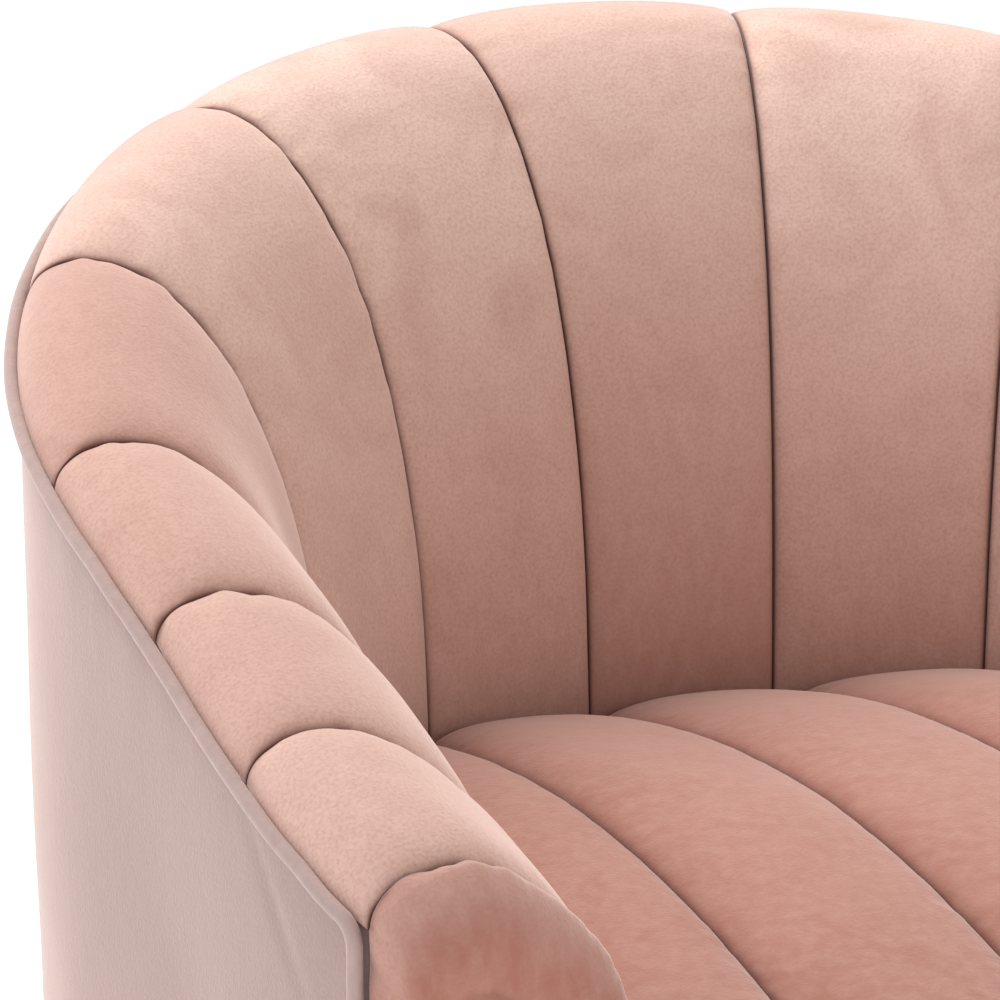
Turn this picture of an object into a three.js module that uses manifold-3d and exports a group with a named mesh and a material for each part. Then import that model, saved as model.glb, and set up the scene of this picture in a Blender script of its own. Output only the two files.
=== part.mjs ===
// A barrel-shaped nursery chair with channel-tufted padding on a swivel glider base.
// Millimetres, +Z up. The origin is on the floor under the middle of the chair, the sitter faces -Y,
// and the sitter's right is -X. The padding is made as plain closed solids of its true size.
import * as THREE from "three";
import { mergeVertices } from "three/addons/utils/BufferGeometryUtils.js";
import Module from "manifold-3d";

const wasm = await Module();
wasm.setup();

// ---- Driving dimensions: the tub ----
const BODY_WIDTH = 744; // across the outside panels
const REAR_RIM_HEIGHT = 766; // floor to the rim's crest at the middle of the back
const ARM_RIM_HEIGHT = 555; // floor to the crest at the front of the arms
const SEAT_EDGE_HEIGHT = 442; // floor to the seat cushion where it meets the padding
const SEAT_CROWN = 44; // rise of the cushion's middle over its edge
const UNDERSIDE_HEIGHT = 70; // floor to the bottom edge of the outside panels
const REAR_WALL_DEPTH = 130; // crest to the inner face of the padding, behind the sitter
const ARM_WALL_DEPTH = 96; // the same at the arms
const ROLL_OUT = 26.4; // crest out to the outside panel
const ROLL_DOWN = 19.4; // crest down to the piping
const PANEL_TAPER = 14; // how far the outside panel leans in from top to bottom
const PANEL_THICKNESS = 5; // cover, felt and board together
const PAD_THICKNESS = 45;
const PAD_OVER_RAIL = 32;
const ARM_CHANNEL_PITCH = 88.4; // length of rim that one channel takes on the arms
const CHANNELS_EACH_SIDE = 6; // channels on each side of the middle one
const CHANNEL_END = CHANNELS_EACH_SIDE + 0.5; // rim coordinate where the arm-front pads begin
const ARM_FRONT_LENGTH = 28; // how far an arm-front pad stands out from the last seam
const ARM_FRONT_ROUND_TOP = 44;
const ARM_FRONT_ROUND_SIDE = 26;
const ARM_FRONT_ROUND_CENTRE = 0; // its sides draw in towards this line, out from the crest
const ARM_FRONT_RINGS = [0, 0.4, 0.7, 0.88, 0.97, 1]; // shares of that length
const SEAT_PROUD = 10; // the cushion's nose ahead of the arm fronts
const CUSHION_BASE_HEIGHT = 352;
const PIPING_RADIUS = 3;
const GAP = 0.3; // between pieces that touch

// How fast the rim turns, in degrees for each channel, at these rim coordinates (0 is mid back).
const RIM_TURN = { at: [0, 1.5, 3, 4.5, 6.5], value: [27.8, 25.1, 27.3, -5.1, 14] };
// The rim's height at these rim coordinates: 1 is the rear height, 0 the arm height.
const RIM_FALL = { at: [0, 1.7, 3.3, 4.9, 6.6], value: [1, 0.868, 0.509, 0.234, 0] };
const PITCH_CHANGE = { start: 2.5, end: 4.5 }; // rear channels are wide up to start, arm ones from end
const WALL_DEPTH_CHANGE_END = 3.6;
const WALL_HANDLES = { rise: 0.7, reach: 0.45 }; // of the curve from the seat up and over to the crest

// ---- Driving dimensions: the frame inside ----
const RIM_RAIL = { inner: -35, outer: 15, height: 30 };
const POST = { inner: -28, outer: 0, width: 40, at: [1.2, 3.2, 6.1] };
const SEAT_RAIL = { inner: -62, outer: -30, bottom: 290, top: 340 };
const BOTTOM_FRAME = { inner: -45, thickness: 18, bottom: 75.3 };
const FRONT_RAIL_DEPTH = 30;
const SPRING = { wire: 4, spacing: 96, count: 5, wave: 36, waves: 5, landing: 15 };
const BORDER = { setback: 16, thickness: 8 };
const DUST_COVER = { thickness: 2.7, margin: 12, playX: 14, playY: 8 };
const BEAM = { width: 45, height: 44, y: 120 };

// ---- Driving dimensions: the swivel glider base ----
const BASE_RING_RADIUS = 260;
const BASE_TUBE_RADIUS = 11;
const FLOOR_RING = { width: 20, height: 6 };
const CROSS_BAR = { width: 45, thickness: 6 };
const RACE = { radius: 76, thickness: 4, hole: 22 };
const CAGE = { radius: 65, hole: 45, height: 8 };
const PIVOT_BOLT = { radius: 8, headRadius: 22, headHeight: 8, play: 0.5 };
const PAN = { width: 344, thickness: 4, hole: 28 };
const SIDE_PLATE = { x: 168, thickness: 4, rim: 16 };
const LINK_LENGTH = 110; // pivot to pivot
const LINK = { x: 180, thickness: 5, width: 28 };
const LOWER_PIVOT_HEIGHT = 72;
const PIVOT_SPAN = 190; // between the front and rear pivots
const GLIDE_ANGLE = 20; // each way
const PIN_RADIUS = 6;
const PIN_HEAD = { radius: 10, height: 4 };
const PIN_RUNNING_CLEARANCE = 0.4;
const BRACKET = { x: 192, thickness: 4, flange: 40 };
const SIDES_ROUND = 24; // facets on a round piece
const SIDES_PIN = 16;

// ---- Materials ----
const velvet = material(0xc79a8c, 0.9, 0);
const velvetShade = material(0xcdb2a9, 0.9, 0);
const beech = material(0xc9a878, 0.7, 0);
const springSteel = material(0x8d8f92, 0.4, 0.9);
const blackSteel = material(0x2a2a2c, 0.5, 0.6);
const zincSteel = material(0xa9acb0, 0.35, 0.9);
const blackNylon = material(0x1e1e20, 0.6, 0);
const blackCloth = material(0x19191b, 0.95, 0);

function material(color, roughness, metalness) {
  return new THREE.MeshStandardMaterial({ color, roughness, metalness });
}

// ---- Small geometry helpers ----
function toSolid(geometry) {
  const plain = geometry.clone();
  plain.deleteAttribute("normal");
  plain.deleteAttribute("uv");
  const merged = mergeVertices(plain, 1e-3);
  return new wasm.Manifold(
    new wasm.Mesh({
      numProp: 3,
      vertProperties: new Float32Array(merged.attributes.position.array),
      triVerts: new Uint32Array(merged.index.array),
    }),
  );
}

function toGeometry(solid) {
  const mesh = solid.getMesh();
  const geometry = new THREE.BufferGeometry();
  geometry.setAttribute("position", new THREE.BufferAttribute(mesh.vertProperties, 3));
  geometry.setIndex(new THREE.BufferAttribute(mesh.triVerts, 1));
  geometry.computeVertexNormals();
  return geometry;
}

function joined(first, ...rest) {
  return toGeometry(rest.reduce((sum, g) => sum.add(toSolid(g)), toSolid(first)));
}

function box(low, high) {
  const size = high.map((h, i) => h - low[i]);
  const geometry = new THREE.BoxGeometry(...size);
  return geometry.translate(...low.map((l, i) => l + size[i] / 2));
}

// A closed solid through rings of points with equal counts, or round and round if it has no ends.
function loft(rings, flatEnd) {
  const count = rings[0].length;
  const positions = rings.flat().flatMap((p) => [p.x, p.y, p.z]);
  const index = [];
  for (let i = 0; i + 1 < rings.length; i++) {
    for (let j = 0; j < count; j++) {
      const [a, b] = [i * count + j, i * count + ((j + 1) % count)];
      index.push(a, b, b + count, a, b + count, a + count);
    }
  }
  const last = (rings.length - 1) * count;
  for (const [a, b, c] of THREE.ShapeUtils.triangulateShape(flatEnd, [])) {
    index.push(c, b, a, last + a, last + b, last + c);
  }
  if (signedVolume(positions, index) < 0) index.reverse();
  const geometry = new THREE.BufferGeometry();
  geometry.setAttribute("position", new THREE.Float32BufferAttribute(positions, 3));
  geometry.setIndex(index);
  geometry.computeVertexNormals();
  return geometry;
}

function signedVolume(positions, index) {
  const [a, b, c] = [new THREE.Vector3(), new THREE.Vector3(), new THREE.Vector3()];
  let sum = 0;
  for (let i = 0; i < index.length; i += 3) {
    a.fromArray(positions, index[i] * 3);
    b.fromArray(positions, index[i + 1] * 3);
    c.fromArray(positions, index[i + 2] * 3);
    sum += a.dot(b.cross(c));
  }
  return sum;
}

// A flat plate whose outline is given in Y and Z, standing at x.
function plateAcrossX(shape, x, thickness) {
  const geometry = new THREE.ExtrudeGeometry(shape, {
    depth: thickness,
    bevelEnabled: false,
    curveSegments: SIDES_ROUND / 4,
  });
  const turn = new THREE.Matrix4().makeBasis(
    new THREE.Vector3(0, 1, 0),
    new THREE.Vector3(0, 0, 1),
    new THREE.Vector3(1, 0, 0),
  );
  return geometry.applyMatrix4(turn).translate(x, 0, 0);
}

// A turned piece: the profile is radius and distance along the axis.
function turned(profile, sides, alongX = false) {
  const geometry = new THREE.LatheGeometry(
    profile.map(([r, h]) => new THREE.Vector2(r, h)),
    sides,
  );
  if (signedVolume(geometry.attributes.position.array, geometry.index.array) < 0) {
    geometry.index.array.reverse();
  }
  return alongX ? geometry.rotateZ(-Math.PI / 2) : geometry.rotateX(Math.PI / 2);
}

function disc(radius, hole, low, high) {
  const profile = [
    [hole, low],
    [radius, low],
    [radius, high],
    [hole, high],
    [hole, low],
  ];
  return turned(profile, SIDES_ROUND);
}

function lerpTable(table, u) {
  const { at, value } = table;
  for (let i = 1; i < at.length; i++) {
    if (u <= at[i]) {
      return THREE.MathUtils.mapLinear(u, at[i - 1], at[i], value[i - 1], value[i]);
    }
  }
  return value[value.length - 1];
}

// A smooth curve through the table's values, level at its start.
function smoothTable({ at, value }, u) {
  const last = at.length - 1;
  const slope = value.map((v, i) => {
    if (i === 0) return 0;
    if (i === last) return (v - value[i - 1]) / (at[i] - at[i - 1]);
    return (value[i + 1] - value[i - 1]) / (at[i + 1] - at[i - 1]);
  });
  let i = 0;
  while (i < last - 1 && u > at[i + 1]) i++;
  const h = at[i + 1] - at[i];
  const t = (u - at[i]) / h;
  const start = (2 * t ** 3 - 3 * t ** 2 + 1) * value[i] + (t ** 3 - 2 * t ** 2 + t) * h * slope[i];
  const end = (3 * t ** 2 - 2 * t ** 3) * value[i + 1] + (t ** 3 - t ** 2) * h * slope[i + 1];
  return start + end;
}

// ---- The rim: a crest line that every piece of the tub hangs from ----
const PLAN_STEP = 0.05;
const PLAN_STEPS = Math.round((CHANNEL_END + 1) / PLAN_STEP);

function pitchAt(u, rearPitch) {
  const t = THREE.MathUtils.clamp(
    (u - PITCH_CHANGE.start) / (PITCH_CHANGE.end - PITCH_CHANGE.start),
    0,
    1,
  );
  return THREE.MathUtils.lerp(rearPitch, ARM_CHANNEL_PITCH, t);
}

function planFor(rearPitch) {
  const plan = [{ x: 0, y: 0, angle: 0 }];
  for (let i = 0; i < PLAN_STEPS; i++) {
    const u = (i + 0.5) * PLAN_STEP;
    const before = plan[i];
    const turn = THREE.MathUtils.degToRad(lerpTable(RIM_TURN, u)) * PLAN_STEP;
    const middle = before.angle + turn / 2;
    const length = pitchAt(u, rearPitch) * PLAN_STEP;
    plan.push({
      x: before.x - Math.cos(middle) * length,
      y: before.y - Math.sin(middle) * length,
      angle: before.angle + turn,
    });
  }
  return plan;
}

function halfWidthOf(plan) {
  return Math.max(...plan.map((p) => -p.x)) + ROLL_OUT;
}

// The rear channels' pitch is whatever gives the body its width.
function fittedPlan() {
  let [narrow, wide] = [BODY_WIDTH / 12, BODY_WIDTH / 2];
  for (let i = 0; i < 50; i++) {
    const middle = (narrow + wide) / 2;
    if (halfWidthOf(planFor(middle)) < BODY_WIDTH / 2) narrow = middle;
    else wide = middle;
  }
  return planFor(wide);
}

// Where a point of the arm's end at this distance out goes on the ring at share s.
function drawnIn(out, s) {
  const half = (ROLL_OUT + ARM_WALL_DEPTH) / 2;
  const scale = 1 - (ARM_FRONT_ROUND_SIDE / half) * (1 - Math.sqrt(1 - s * s));
  return ARM_FRONT_ROUND_CENTRE + (out - ARM_FRONT_ROUND_CENTRE) * scale;
}

const plan = fittedPlan();
const planFront = planPoint(CHANNEL_END);
const frontReach =
  Math.min(
    ...ARM_FRONT_RINGS.map(
      (s) =>
        planFront.y +
        planFront.tangent.y * (GAP + s * (ARM_FRONT_LENGTH - GAP)) +
        planFront.normal.y * drawnIn(ROLL_OUT, s),
    ),
  ) - SEAT_PROUD;
const CENTRE_SHIFT = -(ROLL_OUT + 2 * PIPING_RADIUS + 2 * GAP + frontReach) / 2;

// The crest in plan at rim coordinate u, which is positive towards the sitter's right arm.
function planPoint(u) {
  const side = u < 0 ? -1 : 1;
  const place = Math.min(Math.abs(u) / PLAN_STEP, PLAN_STEPS - 1e-6);
  const [i, t] = [Math.floor(place), place % 1];
  const x = THREE.MathUtils.lerp(plan[i].x, plan[i + 1].x, t);
  const y = THREE.MathUtils.lerp(plan[i].y, plan[i + 1].y, t);
  const angle = THREE.MathUtils.lerp(plan[i].angle, plan[i + 1].angle, t);
  return {
    x: side * x,
    y,
    normal: { x: -side * Math.sin(angle), y: Math.cos(angle) },
    tangent: { x: -side * Math.cos(angle), y: -Math.sin(angle) },
  };
}

function rimAt(u) {
  const far = Math.abs(u);
  const k = THREE.MathUtils.smoothstep(far, 0, WALL_DEPTH_CHANGE_END);
  const rise = smoothTable(RIM_FALL, far) * (REAR_RIM_HEIGHT - ARM_RIM_HEIGHT);
  const p = planPoint(u);
  return {
    ...p,
    y: p.y + CENTRE_SHIFT,
    crest: ARM_RIM_HEIGHT + rise,
    depth: THREE.MathUtils.lerp(REAR_WALL_DEPTH, ARM_WALL_DEPTH, k),
  };
}

// A section point, out from the crest and up from the floor, at the rim station.
function atRim(rim, out, z, forward = 0) {
  return new THREE.Vector3(
    rim.x + rim.normal.x * out + rim.tangent.x * forward,
    rim.y + rim.normal.y * out + rim.tangent.y * forward,
    z,
  );
}

function stations(from, to, steps) {
  return Array.from({ length: steps + 1 }, (_, i) => from + ((to - from) * i) / steps);
}

// A solid of one section swept along the rim; section(rim) gives [out, z] pairs, anticlockwise.
function alongRim(from, to, steps, section) {
  const rims = stations(from, to, steps).map(rimAt);
  const flat = section(rims[0]).map(([out, z]) => new THREE.Vector2(out, z));
  return loft(
    rims.map((rim) => section(rim).map(([out, z]) => atRim(rim, out, z))),
    flat,
  );
}

// ---- Padding ----
function wallPoint(rim, t) {
  const rise = rim.crest - SEAT_EDGE_HEIGHT;
  const [a, b, c, d] = [(1 - t) ** 3, 3 * (1 - t) ** 2 * t, 3 * (1 - t) * t ** 2, t ** 3];
  return [
    -rim.depth * (a + b + WALL_HANDLES.reach * c),
    SEAT_EDGE_HEIGHT + rise * (WALL_HANDLES.rise * b + c + d),
  ];
}

function behindWall(rim, t) {
  const step = 0.01;
  const [o0, z0] = wallPoint(rim, t);
  const [o1, z1] = wallPoint(rim, t + step);
  const length = Math.hypot(o1 - o0, z1 - z0);
  const [away, up] = [(z1 - z0) / length, -(o1 - o0) / length];
  const out = Math.min(o0 + away * PAD_THICKNESS, RIM_RAIL.inner - BACK_CLEARANCE);
  return [out, z0 + up * PAD_THICKNESS];
}

const STEPS_PER_CHANNEL = 4;
const WALL_STEPS = 7;
const BACK_CLEARANCE = 5; // between a pad's back and the rim rail
const ROLL_STEPS = 3;
const PANEL_INNER = ROLL_OUT - PANEL_THICKNESS - GAP;

function outerFace(rim) {
  const wall = stations(0, 1, WALL_STEPS).map((t) => wallPoint(rim, t));
  const roll = stations(0, Math.PI / 2, ROLL_STEPS)
    .slice(1)
    .map((a) => [ROLL_OUT * Math.sin(a), rim.crest - ROLL_DOWN * (1 - Math.cos(a))]);
  return [...wall, ...roll];
}

function padSection(rim) {
  const under = rim.crest - PAD_OVER_RAIL;
  const back = [
    [PANEL_INNER, rim.crest - ROLL_DOWN],
    [PANEL_INNER, under],
    [RIM_RAIL.inner - BACK_CLEARANCE, under],
    behindWall(rim, 0.5),
    behindWall(rim, 0.25),
    [PAD_THICKNESS - rim.depth, SEAT_EDGE_HEIGHT],
    [PAD_THICKNESS - rim.depth, CUSHION_BASE_HEIGHT],
  ];
  return [[-rim.depth, CUSHION_BASE_HEIGHT], ...outerFace(rim), ...back].reverse();
}

function channelPad(k) {
  const gap = GAP / 2 / ARM_CHANNEL_PITCH;
  return alongRim(k - 0.5 + gap, k + 0.5 - gap, STEPS_PER_CHANNEL, padSection);
}

// The whole end of an arm: the last channel rolls forward and down to the bottom edge.
function armFrontRings(side) {
  const rim = rimAt(side * CHANNEL_END);
  const foot = UNDERSIDE_HEIGHT;
  const outline = [
    [-rim.depth, foot],
    ...outerFace(rim),
    [ROLL_OUT - PANEL_TAPER, foot],
  ].reverse();
  return ARM_FRONT_RINGS.map((s) => {
    const shrink = 1 - Math.sqrt(1 - s * s);
    const tall = 1 - (ARM_FRONT_ROUND_TOP / (rim.crest - foot)) * shrink;
    const forward = GAP + s * (ARM_FRONT_LENGTH - GAP);
    return outline.map(([out, z]) =>
      atRim(rim, drawnIn(out, s), foot + (z - foot) * tall, forward),
    );
  });
}

function armFrontPad(side) {
  const rings = armFrontRings(side);
  const flat = rings[0].map((p) => {
    const rim = rimAt(side * CHANNEL_END);
    const out = (p.x - rim.x) * rim.normal.x + (p.y - rim.y) * rim.normal.y;
    return new THREE.Vector2(out, p.z);
  });
  return loft(rings, flat);
}

const armFrontPoints = armFrontRings(1).flat();
const BETWEEN_ARMS = Math.min(...armFrontPoints.map((p) => -p.x)) - 2 * GAP;
const ARM_FRONT_Y = Math.min(...armFrontPoints.map((p) => p.y));
const ARM_FRONT_BACK_Y = Math.max(...armFrontPoints.map((p) => p.y)) + 1;

// Half the free width between the arm fronts in the plane at y.
function betweenArmsAt(y) {
  const inner = armFrontRings(1).map((ring) => ring[ring.length - 1]);
  const ahead = inner.findIndex((p) => p.y <= y);
  if (ahead < 0) return -inner[inner.length - 1].x;
  if (ahead === 0) return -inner[0].x;
  const [a, b] = [inner[ahead - 1], inner[ahead]];
  return -THREE.MathUtils.mapLinear(y, a.y, b.y, a.x, b.x);
}

function seatCushion() {
  const nose = ARM_FRONT_Y - SEAT_PROUD;
  const end = CHANNEL_END - 0.02;
  const sides = stations(-end, end, 30).map((u) => {
    const rim = rimAt(u);
    return atRim(rim, -rim.depth - 2 * GAP, 0);
  });
  const corner = BETWEEN_ARMS;
  const front = [
    [-corner, 0.25],
    [-corner * 0.85, 1],
    [-corner * 0.4, 1],
    [corner * 0.4, 1],
    [corner * 0.85, 1],
    [corner, 0.25],
  ].map(([x, k]) => new THREE.Vector3(x, THREE.MathUtils.lerp(sides[0].y, nose, k), 0));
  const outline = [...sides, ...front];
  const centre = new THREE.Vector3(0, (sides[15].y + nose) / 2, 0);
  const levels = [
    [1, CUSHION_BASE_HEIGHT],
    [1, SEAT_EDGE_HEIGHT - 12],
    [0.96, SEAT_EDGE_HEIGHT + 0.3 * SEAT_CROWN],
    [0.8, SEAT_EDGE_HEIGHT + 0.7 * SEAT_CROWN],
    [0.5, SEAT_EDGE_HEIGHT + 0.95 * SEAT_CROWN],
    [0.2, SEAT_EDGE_HEIGHT + SEAT_CROWN],
  ];
  const rings = levels.map(([scale, z]) =>
    outline.map((p) => new THREE.Vector3().lerpVectors(centre, p, scale).setZ(z)),
  );
  return loft(
    rings,
    outline.map((p) => new THREE.Vector2(p.x, p.y)),
  );
}

// ---- Covers outside ----
function panelOut(rim, z) {
  const top = rim.crest - ROLL_DOWN;
  const t = THREE.MathUtils.clamp((top - z) / (top - UNDERSIDE_HEIGHT), 0, 1);
  return ROLL_OUT - PANEL_TAPER * t * t;
}

function panelSection(rim) {
  const top = rim.crest - ROLL_DOWN - GAP;
  const levels = stations(UNDERSIDE_HEIGHT, top, 3);
  const outside = levels.map((z) => [panelOut(rim, z), z]);
  const inside = levels.map((z) => [panelOut(rim, z) - PANEL_THICKNESS, z]).reverse();
  return [...outside, ...inside];
}

const PANEL_SEAM = 2.5; // rim coordinate of the seam between the back panel and a side panel

function outsidePanel(from, to) {
  const gap = GAP / 2 / ARM_CHANNEL_PITCH;
  const steps = Math.round((to - from) * STEPS_PER_CHANNEL);
  return alongRim(from + gap, to - gap, steps, panelSection);
}

function roundSection(out, z) {
  return stations(0, 2 * Math.PI, 6)
    .slice(1)
    .map((a) => [out + PIPING_RADIUS * Math.cos(a), z + PIPING_RADIUS * Math.sin(a)]);
}

const RIM_STEPS = 2 * CHANNEL_END * STEPS_PER_CHANNEL;
const PIPING_OUT = ROLL_OUT + PIPING_RADIUS + 2 * GAP;

function rimPiping() {
  return alongRim(-CHANNEL_END, CHANNEL_END, RIM_STEPS, (rim) =>
    roundSection(PIPING_OUT, rim.crest - ROLL_DOWN),
  );
}

function armPiping(side) {
  const rim = rimAt(side * CHANNEL_END);
  const top = rim.crest - ROLL_DOWN - PIPING_RADIUS - GAP;
  const rings = stations(UNDERSIDE_HEIGHT + GAP, top, 4).map((z) =>
    roundSection(panelOut(rim, z) + PIPING_RADIUS + GAP, 0).map(([out, forward]) =>
      atRim(rim, out, z, forward - PIPING_RADIUS),
    ),
  );
  return loft(
    rings,
    roundSection(0, 0).map(([x, y]) => new THREE.Vector2(x, y)),
  );
}

function frontBorder() {
  const y = ARM_FRONT_Y + BORDER.setback;
  const top = CUSHION_BASE_HEIGHT - GAP;
  const reach = Math.min(betweenArmsAt(y), betweenArmsAt(y + BORDER.thickness)) - 2 * GAP;
  return box([-reach, y, UNDERSIDE_HEIGHT], [reach, y + BORDER.thickness, top]);
}

// ---- Frame inside the tub ----
const FRAME_END = CHANNEL_END - 0.02;
const FRONT_RAIL_Y = ARM_FRONT_Y + BORDER.setback + BORDER.thickness + GAP;

function rectangleSection(inner, outer, low, high) {
  return [
    [outer, low],
    [outer, high],
    [inner, high],
    [inner, low],
  ];
}

function rimRail() {
  const end = CHANNEL_END - 1 / STEPS_PER_CHANNEL;
  return alongRim(-end, end, RIM_STEPS - 2, (rim) => {
    const top = rim.crest - PAD_OVER_RAIL - BACK_CLEARANCE / 2;
    return rectangleSection(RIM_RAIL.inner, RIM_RAIL.outer, top - RIM_RAIL.height, top);
  });
}

function post(u) {
  const rim = rimAt(u);
  const half = POST.width / 2;
  const low = BOTTOM_FRAME.bottom + BOTTOM_FRAME.thickness + GAP;
  const slope = rimAt(u + Math.sign(u) * 0.3).crest;
  const top = Math.min(rim.crest, slope) - PAD_OVER_RAIL - RIM_RAIL.height - BACK_CLEARANCE;
  const corners = [
    [POST.outer, -half],
    [POST.outer, half],
    [POST.inner, half],
    [POST.inner, -half],
  ];
  return loft(
    [low, top].map((z) => corners.map(([out, forward]) => atRim(rim, out, z, forward))),
    corners.map(([out, forward]) => new THREE.Vector2(out, forward)),
  );
}

// A rail that follows the rim, steps in behind the arm fronts and runs straight across the front.
function closedRail(inner, outer, low, high) {
  const curved = alongRim(-FRAME_END, FRAME_END, RIM_STEPS, () =>
    rectangleSection(inner, outer, low, high),
  );
  const [y, back] = [FRONT_RAIL_Y, ARM_FRONT_BACK_Y + FRONT_RAIL_DEPTH];
  const reach = BETWEEN_ARMS;
  const front = box([-reach, y, low], [reach, y + FRONT_RAIL_DEPTH, high]);
  const out = -atRim(rimAt(CHANNEL_END - 0.5), (inner + outer) / 2, 0).x;
  const returns = [-1, 1].flatMap((side) => {
    const along = [side * (reach - FRONT_RAIL_DEPTH), side * reach].sort((a, b) => a - b);
    const across = [side * (reach - FRONT_RAIL_DEPTH), side * out].sort((a, b) => a - b);
    return [
      box([along[0], y, low], [along[1], back, high]),
      box([across[0], ARM_FRONT_BACK_Y, low], [across[1], back, high]),
    ];
  });
  return joined(curved, front, ...returns);
}

function seatRail() {
  return closedRail(SEAT_RAIL.inner, SEAT_RAIL.outer, SEAT_RAIL.bottom, SEAT_RAIL.top);
}

function bottomFrame() {
  const outer = ROLL_OUT - PANEL_TAPER - PANEL_THICKNESS - 3 * GAP;
  const { inner, bottom, thickness } = BOTTOM_FRAME;
  return closedRail(inner, outer, bottom, bottom + thickness);
}

// The rear end of a line along Y at x, where it meets the rim offset by out.
function rearAt(x, out) {
  const points = stations(0, PITCH_CHANGE.end, 200).map((u) => atRim(rimAt(u), out, 0));
  const hit = points.find((p) => -p.x >= Math.abs(x));
  return hit ? hit.y : points[points.length - 1].y;
}

function wireAlong(points) {
  const path = new THREE.CatmullRomCurve3(points);
  const r = SPRING.wire / 2;
  const section = new THREE.Shape([
    new THREE.Vector2(-r, -r),
    new THREE.Vector2(r, -r),
    new THREE.Vector2(r, r),
    new THREE.Vector2(-r, r),
  ]);
  return new THREE.ExtrudeGeometry(section, {
    steps: (points.length - 1) * 3,
    extrudePath: path,
    bevelEnabled: false,
  });
}

// Sinuous springs from the front rail to the rear rail, joined by one tie wire.
function seatSprings() {
  const z = SEAT_RAIL.top + GAP + SPRING.wire / 2;
  const front = FRONT_RAIL_Y + SPRING.landing;
  const rear = (SEAT_RAIL.inner + SEAT_RAIL.outer) / 2;
  const first = (-SPRING.spacing * (SPRING.count - 1)) / 2;
  const springs = Array.from({ length: SPRING.count }, (_, i) => {
    const x = first + i * SPRING.spacing;
    const end = rearAt(x, rear);
    const half = 2 * SPRING.waves;
    const points = stations(front, end, half).map((y, j) => {
      const swing = j === 0 || j === half ? 0 : (j % 2 ? 1 : -1) * (SPRING.wave / 2);
      return new THREE.Vector3(x + swing, y, z);
    });
    return wireAlong(points);
  });
  const r = SPRING.wire / 2;
  const reach = -first + SPRING.wave / 2;
  const middle = (front + rearAt(0, rear)) / 2;
  const tie = box([-reach, middle - r, z - r], [reach, middle + r, z + r]);
  return joined(tie, ...springs);
}

// Cross beams under the seat rail, which the glider's brackets are bolted to.
function beam(side) {
  const y = side * BEAM.y;
  const outer = y + side * (BEAM.width / 2);
  const reachAt = (at) => {
    const points = stations(1, FRAME_END, 120).map((u) => atRim(rimAt(u), SEAT_RAIL.inner, 0));
    const near = points.filter((p) => Math.abs(p.y - at) < 12);
    return Math.min(...near.map((p) => -p.x));
  };
  const reach = Math.min(reachAt(y), reachAt(outer)) + 22;
  const top = SEAT_RAIL.bottom - GAP;
  return box(
    [-reach, y - BEAM.width / 2, top - BEAM.height],
    [reach, y + BEAM.width / 2, top],
  );
}

const TIE_INNER =
  PIVOT_SPAN / 2 + LINK_LENGTH * Math.sin(THREE.MathUtils.degToRad(GLIDE_ANGLE)) + PIN_HEAD.radius + 1;
const TIE_BAR = { inner: TIE_INNER, outer: TIE_INNER + 12, height: 34 };
const GLIDE_TRAVEL = LINK_LENGTH * Math.sin(THREE.MathUtils.degToRad(GLIDE_ANGLE));

// Black cloth under the tub, with a hole that the base moves in.
function dustCover() {
  const { thickness, margin, playX, playY } = DUST_COVER;
  const inset = BOTTOM_FRAME.inner + margin;
  const points = stations(-FRAME_END, FRAME_END, 40).map((u) => atRim(rimAt(u), inset, 0));
  const corner = FRONT_RAIL_Y + margin;
  const reach = BETWEEN_ARMS - margin;
  const back = ARM_FRONT_BACK_Y + margin;
  points.push(new THREE.Vector3(-reach, back, 0), new THREE.Vector3(-reach, corner, 0));
  points.push(new THREE.Vector3(reach, corner, 0), new THREE.Vector3(reach, back, 0));
  const outline = points.map((p) => [p.x, p.y]);
  const holeX = BRACKET.x + BRACKET.thickness + PIN_HEAD.height + playX;
  const holeY = TIE_BAR.outer + GLIDE_TRAVEL + playY;
  const barX = LINK.x + playY;
  const pinY = PIVOT_SPAN / 2 + GLIDE_TRAVEL + LINK.width / 2 + playX;
  const hole = [
    [-barX, -holeY],
    [barX, -holeY],
    [holeX, -pinY],
    [holeX, pinY],
    [barX, holeY],
    [-barX, holeY],
    [-holeX, pinY],
    [-holeX, -pinY],
  ];
  const sheet = new wasm.CrossSection([outline], "NonZero").subtract(
    new wasm.CrossSection([hole], "NonZero"),
  );
  const solid = sheet.extrude(thickness);
  return toGeometry(solid.translate([0, 0, BOTTOM_FRAME.bottom - GAP - thickness]));
}

// ---- Swivel glider base: heights stack up from the floor ----
const RING_LOW = FLOOR_RING.height + GAP;
const CROSS_LOW = RING_LOW + 2 * BASE_TUBE_RADIUS + GAP;
const LOWER_RACE_LOW = CROSS_LOW + CROSS_BAR.thickness + GAP;
const CAGE_LOW = LOWER_RACE_LOW + RACE.thickness + GAP;
const UPPER_RACE_LOW = CAGE_LOW + CAGE.height + GAP;
const PAN_LOW = UPPER_RACE_LOW + RACE.thickness + GAP;
const PLATE_LOW = PAN_LOW + PAN.thickness + GAP;
const UPPER_PIVOT_HEIGHT = LOWER_PIVOT_HEIGHT + LINK_LENGTH;

function floorRing() {
  const half = FLOOR_RING.width / 2;
  return turned(
    [
      [BASE_RING_RADIUS - half, 0],
      [BASE_RING_RADIUS + half, 0],
      [BASE_RING_RADIUS + half, FLOOR_RING.height],
      [BASE_RING_RADIUS - half, FLOOR_RING.height],
      [BASE_RING_RADIUS - half, 0],
    ],
    2 * SIDES_ROUND,
  );
}

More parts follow.
